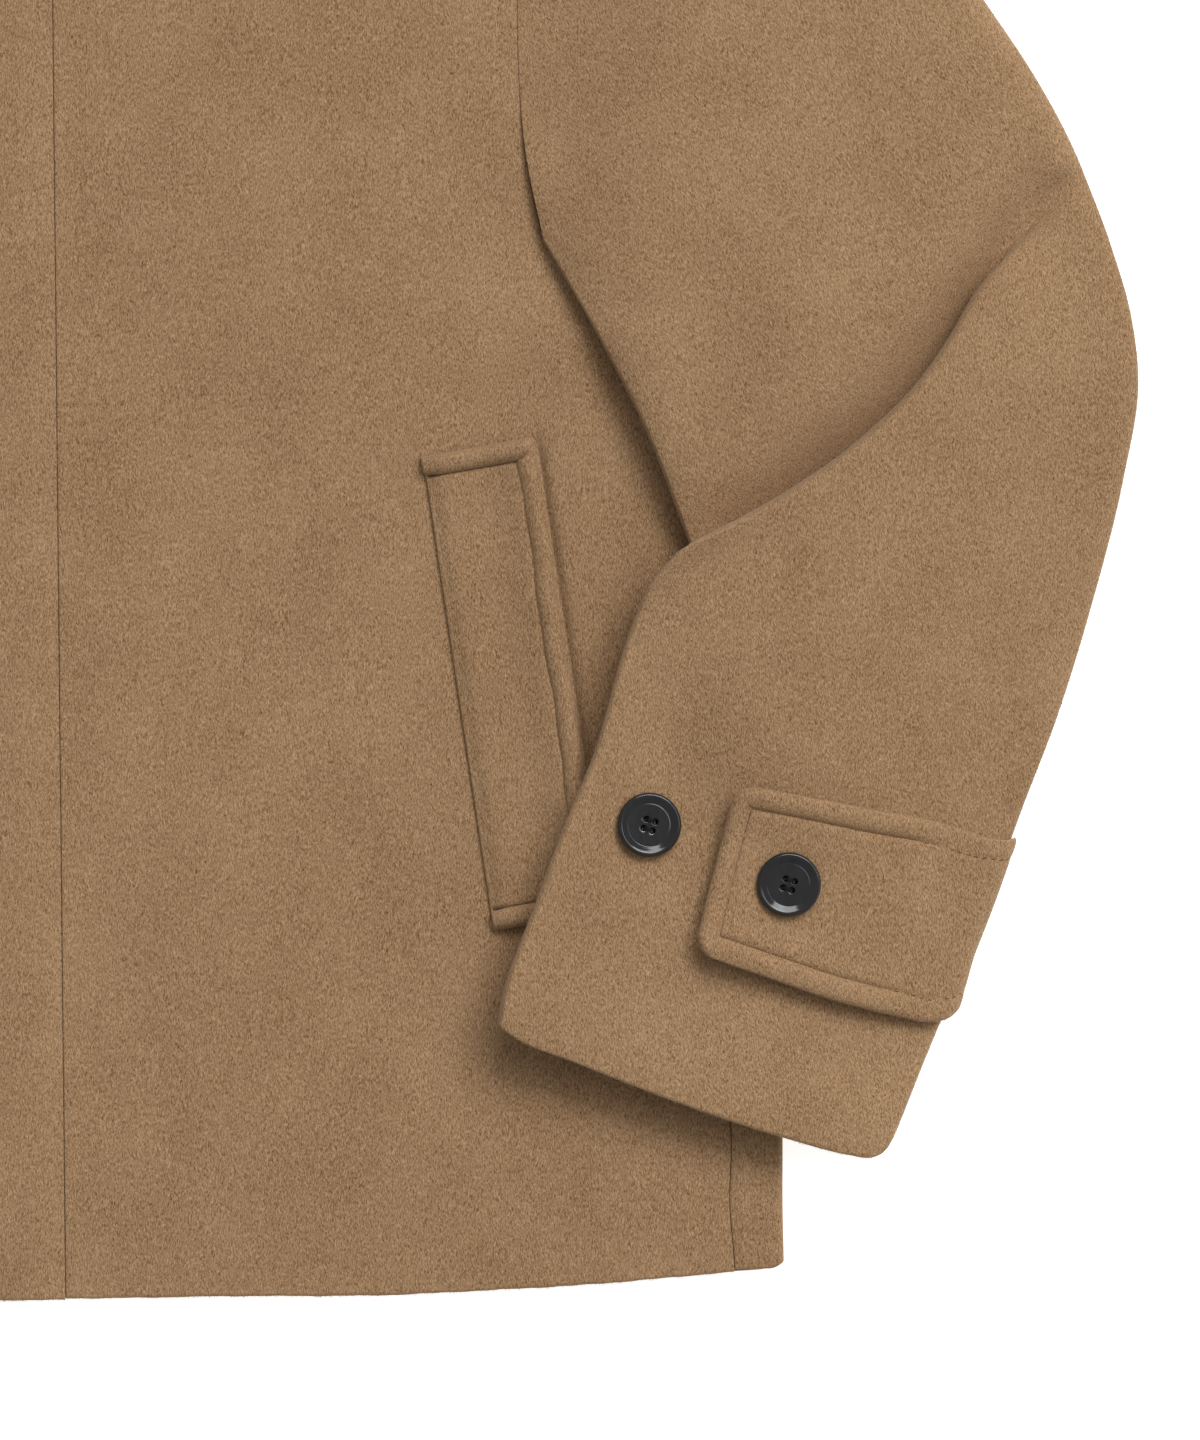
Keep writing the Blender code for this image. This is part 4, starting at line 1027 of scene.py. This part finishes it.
top, bottom, elbow_row = sleeve_faces()
tube = np.concatenate([top, bottom[:, -2:0:-1]], axis=1)
rise = travelled(top[:, top.shape[1] // 2][:, None], 0)
wall = rounded(rise, *SEAM_ROUND) * rounded(rise[-1] - rise, *FREE_ROUND)
outward = facing(tube, around=True)
skin = tube - outward * (CLOTH / 2 * (1 - wall))[..., None]
inner_skin = tube - outward * (CLOTH / 2 * (1 + wall))[..., None]
inner_skin[..., 2] = np.maximum(inner_skin[..., 2], FLOOR_GAP)
last = top.shape[1] - 1
rims += [(skin[:, 0], skin[:, 8]), (skin[:, last], skin[:, last - 8]), (skin[-1, :last], skin[-6, :last])]
rims.append((skin[elbow_row + 9, 20:last - 4], skin[elbow_row + 19, 20:last - 4]))
sleeves = {}
for sign, hand in HANDS:
    sleeve = shell(f"sleeve_{hand}", skin, inner_skin, wool, SLEEVE_LEANS[0], around=True, side=sign,
                   later_lean=SLEEVE_LEANS[1], change=elbow_row)
    declare(sleeve, f"sleeve_{hand}_upper", f"sleeve_{hand}_forearm", flat=(0.520, 0.650), area=0.225,
            held="folded", rests_on=[back, "floor"])
    sleeves[hand] = sleeve


# Sleeve tabs ----------------------------------------------------------------------------------------------
# A short belt of soft double cloth on each forearm, sewn into the seam under the sleeve and brought round its
# outer edge. A line of stitching runs round it, and its free end is held down by a button.

TAB_TOP = ((0.2833, 0.1859), (0.3820, 0.1617))        # its upper edge: free end, and at the sleeve's outer edge
TAB_LOW = ((0.2655, 0.1251), (0.3553, 0.0957))
TAB_WIDTH = 0.0633
TAB_CURL = (0.0033, 0.0052)   # how far the upper and the lower edge turn up as they go round the sleeve's edge
TAB_CURL_SPAN = (0.048, 0.058)    # from this far from the free end, over this run
TAB_FLICK = 0.0045        # the lower corner turns up more at the sleeve's edge
TAB_FLICK_SPAN = (0.094, 0.016)
TAB_HALF = 0.0021         # half the thickness of the double cloth
TAB_PUFF = 0.0005         # and this much fuller between the stitching and the edge
TAB_FLAT_FROM = 0.070     # it gets flatter and thinner from here, towards the sleeve's edge
TAB_STITCH = 0.0074       # stitching in from the edge
TAB_END_STITCH = 0.0755   # and its place along the tab at the free end
TAB_GROOVE = (0.0006, 0.0013)     # depth and width of the dip along it
TAB_ROUND = (0.0030, 0.0)
TAB_CORNER = 0.0070
TAB_REST = 0.0003
TAB_LIFT = (0.0030, 0.035)    # how far the free end stands off the sleeve, and over which length
TAB_LOW_LIFT = 0.0022     # and the lower edge
TAB_UNDER = 125.0         # degrees round the outer edge, from the top
TAB_LEAN = 0.06


def fore_place(point):
    """Place w, s at which the forearm's plan passes through a point, by Newton's steps."""
    at = np.array([0.5, 0.5])
    for _ in range(20):
        here = fore_plan(at[0], at[1])
        by_w = (fore_plan(at[0] + 1e-4, at[1]) - here) / 1e-4
        by_s = (fore_plan(at[0], at[1] + 1e-4) - here) / 1e-4
        at = at + np.linalg.solve(np.column_stack([by_w, by_s]), np.array(point) - here)
    return at


def fore_skin(w, s):
    """Points on the outside of the forearm: on its top where w is above 0, and past the outer edge, under it."""
    across = np.abs(w)
    rounds = np.where(w < 0, -1, 1) * edge_rounds(across, plan_width(fore_plan, s))
    height = fore_low(across, s) + fore_half(across, s) * (1 + rounds)
    return raised(fore_plan(across, s), np.maximum(height, FLOOR_GAP))


stitch_b = TAB_STITCH / TAB_WIDTH
b = stations([0.06, stitch_b, 0.16, 0.84, 1 - stitch_b, 0.94], [6, 10, 6, 36, 6, 10, 6], 0.03, 0.03)[:, None]
a = stations([TAB_END_STITCH, 0.11], [12, 8, 56], 0.025)
(low_end, low_edge), (top_end, top_edge) = ([fore_place(p) for p in edge] for edge in (TAB_LOW, TAB_TOP))
w_end, s_end = (low_end + (top_end - low_end) * b).T[..., None]
s_edge = low_edge[1] + (top_edge[1] - low_edge[1]) * b
width = plan_width(fore_plan, (s_end + s_edge) / 2)
from_edge = np.minimum(b, 1 - b) * TAB_WIDTH
corner_cut = TAB_CORNER - np.sqrt(TAB_CORNER ** 2 - np.maximum(TAB_CORNER - from_edge, 0) ** 2)
turn = np.radians(np.linspace(0, TAB_UNDER, 18))[None, 1:]
first = w_end - corner_cut / width
w = np.concatenate([
    first + (SLEEVE_ROLL / width - first) * a,
    np.sign(np.cos(turn)) * SLEEVE_ROLL * (1 - np.sin(turn)) / width,
], axis=1)
from_end = (w_end - w) * width
curl = (TAB_CURL[1] + (TAB_CURL[0] - TAB_CURL[1]) * b) * smooth((from_end - TAB_CURL_SPAN[0]) / TAB_CURL_SPAN[1])
flick = TAB_FLICK * np.clip((from_end - TAB_FLICK_SPAN[0]) / TAB_FLICK_SPAN[1], 0, 1) ** 2 * (1 - b)
s = s_end + (s_edge - s_end) * (w_end - w) / w_end - (curl + flick) / fore_length(w)
skin = fore_skin(w, s)
inset = np.minimum(from_edge, from_end)
stitched = np.exp(-((inset - TAB_STITCH) / TAB_GROOVE[1]) ** 2) * np.where(from_end < from_edge, 0.6, 1.0)
half = TAB_HALF + TAB_PUFF * np.sin(np.pi * np.clip(inset / TAB_STITCH, 0, 1)) - TAB_GROOVE[0] * stitched
half = half - (half - TAB_HALF) * 0.7 * smooth((from_end - TAB_FLAT_FROM) / 0.030)
half = half * (1 - 0.55 * smooth((from_end - TAB_FLAT_FROM) / 0.036))
lift = TAB_REST + TAB_LIFT[0] * smooth(1 - from_end / TAB_LIFT[1]) + TAB_LOW_LIFT * smooth(1 - b / 0.35)
middle = skin + facing(skin) * (half + lift)[..., None]
tab_over, tab_below = sheet_faces(middle, half, TAB_ROUND, SEAM_ROUND, TAB_ROUND, TAB_ROUND)
tab_over[..., 2] = np.maximum(tab_over[..., 2], FLOOR_GAP)
tab_below[..., 2] = np.maximum(tab_below[..., 2], 0.0005)
rims += [(middle[0], middle[7]), (middle[-1], middle[-8]), (middle[:, 0], middle[:, 6])]
for sign, hand in HANDS:
    tab = shell(f"sleeve_tab_{hand}", tab_over, tab_below, wool, TAB_LEAN, side=sign)
    declare(tab, f"tab_{hand}", flat=(0.062, 0.125), held="folded", rests_on=[sleeves[hand]])


# Buttons --------------------------------------------------------------------------------------------------
# Turned from dark horn and polished: a thick rounded rim, a shallow dish and four holes set on a slant. Each is
# sewn on with two bars of dark thread, one on the sleeve beside the tab and one through the tab.

BUTTON_PLACES = {"sleeve": (0.2508, 0.1707), "tab": (0.3010, 0.1490)}
# radius and height from the dish over the rim to the underside
BUTTON_PROFILE = (
    (0.00560, 0.00235), (0.00700, 0.00237), (0.00745, 0.00239), (0.00785, 0.00228), (0.00825, 0.00246),
    (0.00880, 0.00272), (0.00940, 0.00302), (0.01000, 0.00329), (0.01045, 0.00342), (0.01085, 0.00339),
    (0.01125, 0.00316), (0.01158, 0.00266), (0.01172, 0.00210), (0.01150, 0.00125), (0.01060, 0.00065),
    (0.00850, 0.00030), (0.00400, 0.00015),
)
HOLE_AWAY = 0.00237       # each hole's middle from the button's
HOLE_RADIUS = 0.00112
HOLE_DEPTH = 0.0019
HOLE_TURN = math.radians(-18)
SHANK = 0.0006            # thread between the button and the cloth
THREAD = 0.00022          # radius of the thread in the holes
BAR_STEP = 0.00040        # from one turn of thread to the next in a bar
BAR_RISE = 0.0004         # a bar's middle stands this far above the dish
BAR_DIVE = 0.0016         # and its ends go down this far from there
# place on the ramp, and colour
HORN_DARK = (0.30, (0.012, 0.012, 0.013, 1.0))
HORN_LIGHT = (0.80, (0.022, 0.022, 0.024, 1.0))
HORN_STREAKS = (260.0, 90.0, 260.0)   # in a metre of x, y and z


def button_rings():
    """One quarter of a button as rings of points. Inside it runs from the hole's floor up its wall and out to the
    edge of a quarter disc; outside, the profile is turned on the points of that disc's rim."""
    rim = np.radians(np.linspace(-45, 45, 13))
    circle = np.stack([np.cos(rim), np.sin(rim)], axis=-1)
    disc, dish = BUTTON_PROFILE[0]
    arc = disc * circle
    side = np.linspace(1, 0, 9)[1:, None] * arc[-1]
    border = np.concatenate([arc, side, side[-2::-1] * (1, -1)])
    hole = np.array([HOLE_AWAY, 0.0])
    ray = unit(border - hole)
    levels = ((0.02, dish - HOLE_DEPTH), (1.0, dish - HOLE_DEPTH), (1.0, dish - 0.0003), (1.03, dish - 0.0001),
              (1.14, dish))
    inner = [raised(hole + ray * HOLE_RADIUS * out, z) for out, z in levels]
    lip = hole + ray * HOLE_RADIUS * levels[-1][0]
    inner += [raised(lip + (border - lip) * t, dish) for t in (0.33, 0.66, 1.0)]
    outer = [raised(r * circle, z) for r, z in curve(BUTTON_PROFILE)(np.linspace(0, 1, 70))]
    outer.append(outer[-1] * (0.01, 0.01, 1))
    return np.array(inner), np.array(outer)


def ring_faces(rings, closed, start):
    """Quads between rings of points, numbered from start; closed joins each ring's last point to its first."""
    count, size = rings.shape[:2]
    i, j = np.meshgrid(np.arange(count - 1), np.arange(size if closed else size - 1), indexing="ij")
    k = (j + 1) % size
    return start + np.stack([i * size + j, i * size + k, (i + 1) * size + k, (i + 1) * size + j], -1).reshape(-1, 4)


def turned(points, angle):
    """Points turned round z."""
    c, s = math.cos(angle), math.sin(angle)
    return points @ np.array([[c, s, 0], [-s, c, 0], [0, 0, 1]])


inner, outer = button_rings()
points, faces, count = [], [], 0
for quarter in range(4):
    for rings, closed in ((inner, True), (outer, False)):
        points.append(turned(rings.reshape(-1, 3), quarter * np.pi / 2 + np.pi / 4 + HOLE_TURN))
        faces.append(ring_faces(rings, closed, count))
        count += len(points[-1])
points, faces = np.concatenate(points), np.concatenate(faces)
_, first_of, same = np.unique(np.round(points, 8), axis=0, return_index=True, return_inverse=True)
button_points, button_faces = points[first_of], same.reshape(-1)[faces]


def polished_horn(name):
    """Charcoal horn, polished: soft streaks of a lighter grey through it, and a little fine wear in the gloss."""
    made, horn = new_finish(name)
    tree = made.node_tree
    place = add_node(tree, "ShaderNodeTexCoord")
    bent = add_node(tree, "ShaderNodeMapping", {"vector_type": "POINT"}, Scale=HORN_STREAKS,
                    Rotation=(0.0, 0.0, 0.7))
    streaks = add_node(tree, "ShaderNodeTexNoise", Scale=1.0, Detail=4.0, Roughness=0.55, Distortion=0.6)
    tree.links.new(place.outputs["Object"], bent.inputs["Vector"])
    tree.links.new(bent.outputs["Vector"], streaks.inputs["Vector"])
    two_tone(tree, streaks.outputs["Fac"], HORN_DARK, HORN_LIGHT, horn.inputs["Base Color"])
    gloss = mixed(tree, "ADD", mixed(tree, "MULTIPLY", streaks.outputs["Fac"], 0.06), 0.10)
    tree.links.new(gloss, horn.inputs["Roughness"])
    return made


def sewing_thread(name, colour):
    """Spun thread: twisted strands as fine bands of light and dark."""
    made, spun = new_finish(name, Roughness=0.75, Specular_IOR_Level=0.2)
    tree = made.node_tree
    place = add_node(tree, "ShaderNodeTexCoord")
    twist = add_node(tree, "ShaderNodeTexNoise", Scale=2600.0, Detail=1.0, Roughness=0.5)
    tree.links.new(place.outputs["Object"], twist.inputs["Vector"])
    dark, light = ((*(share * c for c in colour), 1.0) for share in (0.55, 1.35))
    two_tone(tree, twist.outputs["Fac"], (0.3, dark), (0.7, light), spun.inputs["Base Color"])
    return made


def threads(paths, radius):
    """Points and faces of many threads: a ring of six round every point of each path, shrunk to a point's size at
    the ends."""
    count, length = paths.shape[:2]
    reach = paths[:, -1] - paths[:, 0]
    aside = unit(np.cross(reach, (0.0, 0.0, 1.0)))[:, None]
    along = unit(np.gradient(paths, axis=1))
    up = unit(np.cross(aside, along))
    angle = np.radians(np.arange(6) * 60)
    size = radius * np.where(np.isin(np.arange(length), (0, length - 1)), 0.12, 1.0)
    spoke = np.cos(angle)[:, None] * aside[:, :, None] + np.sin(angle)[:, None] * up[:, :, None]
    rings = paths[:, :, None] + spoke * size[None, :, None, None]
    one = ring_faces(rings[0], True, 0)
    caps = np.array([[3, 2, 1, 0], [5, 4, 3, 0]])
    one = np.concatenate([one, caps, (length - 1) * 6 + caps[:, ::-1]])
    faces = (np.arange(count) * length * 6)[:, None, None] + one
    return rings.reshape(-1, 3), faces.reshape(-1, 4)


horn = polished_horn("polished_dark_horn")
dark_thread = sewing_thread("dark_thread", (0.010, 0.010, 0.011))
hole = np.array([HOLE_AWAY, 0.0, 0.0])
holes = [turned(hole, quarter * np.pi / 2 + np.pi / 4 + HOLE_TURN) for quarter in range(4)]
share = np.linspace(0, 1, 9)[:, None]
bars = []
for left, right in ((1, 0), (2, 3)):
    span = holes[right] - holes[left]
    across = unit(np.cross(span, (0, 0, 1.0)))
    for step in (-BAR_STEP, 0.0, BAR_STEP):
        bar = holes[left] + span * share + across * step
        bar[:, 2] = BUTTON_PROFILE[0][1] + BAR_RISE - BAR_DIVE * np.abs(2 * share[:, 0] - 1) ** 5
        bars.append(bar)
bar_points, bar_faces = threads(np.array(bars), THREAD)
for word, point in BUTTON_PLACES.items():
    w, s = fore_place(point)
    by_w = fore_skin(w - 0.04, s) - fore_skin(w + 0.04, s)
    by_s = fore_skin(w, s - 0.02) - fore_skin(w, s + 0.02)
    axis = unit(np.cross(by_w, by_s))
    x_axis = unit(np.cross((0.0, 1.0, 0.0), axis))
    stand = np.array([x_axis, np.cross(axis, x_axis), axis])
    seat = fore_skin(w, s) + axis * (SHANK + TAB_REST + (2 * TAB_HALF if word == "tab" else 0.0))
    for sign, hand in HANDS:
        button = solid(f"button_{word}_{hand}", button_points @ stand + seat, button_faces, horn, sign)
        declare(button, f"button_{hand}_{word}", slot="button")
        bar = solid(f"button_thread_{word}_{hand}", bar_points @ stand + seat, bar_faces, dark_thread, sign)
        declare(bar, slot="button")


# Stitching ------------------------------------------------------------------------------------------------
# Brown sewing thread: one line round each tab, three on each pocket welt and one beside each armhole seam. Every
# stitch is a short length of thread that goes down into the cloth at both ends.

STITCH = 0.0027           # length of a stitch, and the gap to the next
STITCH_GAP = 0.0005
STITCH_RADIUS = 0.00019
STITCH_LENGTHS = (0.86, 0.2)  # the least share of that length, and how much more at random
STITCH_ASIDE = 0.0005     # spread of their shift to the side
STITCH_SKEW = 0.0008      # and of their slant from end to end
STITCH_ARCH = 0.00030     # how far the middle stands over the ends
STITCH_SUNK = (0.00024, 0.00030)  # how deep the ends lie, and how much deeper at random
THREAD_BROWN = (0.120, 0.055, 0.025)


def between(values, run, places):
    """Values at places along a path, straight between those at the distances of run."""
    return np.stack([np.interp(places, run, column) for column in values.T], axis=-1)


def stitch_paths(path, seed):
    """Stitches along a path: five points each, evenly spaced, arched over the cloth, with a little disorder."""
    random = np.random.default_rng(seed)
    run = travelled(path[None], 1)[0]
    starts = np.arange(0.0004, run[-1] - STITCH, STITCH + STITCH_GAP)
    t = np.linspace(0, 1, 5)
    lengths = STITCH * (STITCH_LENGTHS[0] + STITCH_LENGTHS[1] * random.random((len(starts), 1)))
    made = between(path, run, starts[:, None] + lengths * t)
    aside = unit(np.cross(made[:, -1] - made[:, 0], (0.0, 0.0, 1.0)))[:, None]
    made = made + aside * ((random.random((len(starts), 1, 1)) - 0.5) * STITCH_ASIDE)
    made = made + aside * ((random.random((len(starts), 1, 1)) - 0.5) * STITCH_SKEW * (t[:, None] - 0.5))
    sunk = STITCH_SUNK[0] + STITCH_SUNK[1] * random.random((len(starts), 1)) ** 2
    made[..., 2] += STITCH_ARCH * np.sin(np.pi * t) - sunk
    return made


def thickened(path, count=60):
    """The path with evenly spaced points added."""
    path = np.asarray(path, float)
    run = travelled(path[None], 1)[0]
    return between(path, run, np.linspace(0, run[-1], count))


brown_thread = sewing_thread("brown_thread", THREAD_BROWN)
low_row, top_row = (int(np.argmin(np.abs(b - place))) for place in (stitch_b, 1 - stitch_b))
end_column = int(np.argmin(np.abs(a - TAB_END_STITCH)))
tab_lines = [
    tab_over[low_row, end_column:],
    tab_over[top_row, end_column:],
    tab_over[low_row:top_row + 1, end_column],
]
welt_lines = []
for path in (low_stitch, top_stitch, mouth_stitch):
    middle, half = welt_sheet(*thickened(path.T).T)
    welt_lines.append(middle + half[:, None] * (0, 0, 1))
armhole_path = thickened(ARMHOLE_STITCH, 200)
armhole_z = front_under(armhole_path) + lap(armhole_path[:, 0]) + CLOTH
armhole_z = armhole_z + groove(armhole_path, ARMHOLE_STITCH, *ARMHOLE_GROOVE)
lines = {"tab": tab_lines, "welt": welt_lines, "armhole": [raised(armhole_path, armhole_z)]}
for place, paths in lines.items():
    sewn = np.concatenate([stitch_paths(path, seed) for seed, path in enumerate(paths)])
    sewn_points, sewn_faces = threads(sewn, STITCH_RADIUS)
    for sign, hand in HANDS:
        stitching = solid(f"{place}_stitching_{hand}", sewn_points, sewn_faces, brown_thread, sign)
        declare(stitching)


# Loose fibres ---------------------------------------------------------------------------------------------
# Brushing raises the ends of the wool's fibres, and along every edge they stand out as a fine fuzz. Each fibre is
# bent and tapers to a point.

FIBRES_PER_METRE = 2200
FIBRE_RADIUS = 0.00007
FIBRE_LEAST = 0.0003      # length of the shortest
FIBRE_MORE = 0.0008       # and how much longer the longest is
FIBRE_ROOT = 0.0004       # how deep it is rooted in the edge
FIBRE_ASTRAY = 0.55       # spread of the headings and of the bends
FIBRE_BENT = 0.35
FIBRE_COLOUR = (0.50, 0.37, 0.23, 1.0)


def fuzz(rims, seed):
    """Points and faces of fibres at random places on the rims. Each leaves its rim outward, a little astray, and
    bends: a triangle at the root, a smaller one half way, and the tip."""
    random = np.random.default_rng(seed)
    roots, outward = [], []
    for edge, inside in rims:
        run = travelled(edge[None], 1)[0]
        places = random.random(int(run[-1] * FIBRES_PER_METRE)) * run[-1]
        roots.append(between(edge, run, places))
        outward.append(between(unit(edge - inside), run, places))
    roots, outward = np.concatenate(roots), np.concatenate(outward)
    heading = unit(outward + random.normal(0, FIBRE_ASTRAY, roots.shape))
    bend = random.normal(0, FIBRE_BENT, roots.shape)
    length = FIBRE_LEAST + FIBRE_MORE * random.random((len(roots), 1)) ** 2
    half_way = roots + length * (0.5 * heading + 0.12 * bend)
    tips = roots + length * (heading + 0.5 * bend)
    aside = unit(np.cross(heading, (0.31, 0.52, 0.79)))
    angle = np.radians([0, 120, 240])[:, None]
    spoke = FIBRE_RADIUS * (np.cos(angle) * aside[:, None] + np.sin(angle) * np.cross(heading, aside)[:, None])
    rings = ((roots - FIBRE_ROOT * outward)[:, None] + spoke, half_way[:, None] + 0.7 * spoke, tips[:, None])
    points = np.concatenate(rings, axis=1)
    points[..., 2] = np.maximum(points[..., 2], 0.0001)
    one = np.array([[2, 1, 0], [0, 1, 4], [0, 4, 3], [1, 2, 5], [1, 5, 4], [2, 0, 3], [2, 3, 5], [3, 4, 6],
                    [4, 5, 6], [5, 3, 6]])
    faces = (np.arange(len(roots)) * 7)[:, None, None] + one
    return points.reshape(-1, 3), faces.reshape(-1, 3)


fibre, _ = new_finish("loose_wool_fibre", Base_Color=FIBRE_COLOUR, Roughness=0.9, Specular_IOR_Level=0.15)
fuzz_points, fuzz_faces = fuzz(rims, 7)
for sign, hand in HANDS:
    fibres = solid(f"loose_fibres_{hand}", fuzz_points, fuzz_faces, fibre, sign)
    declare(fibres)
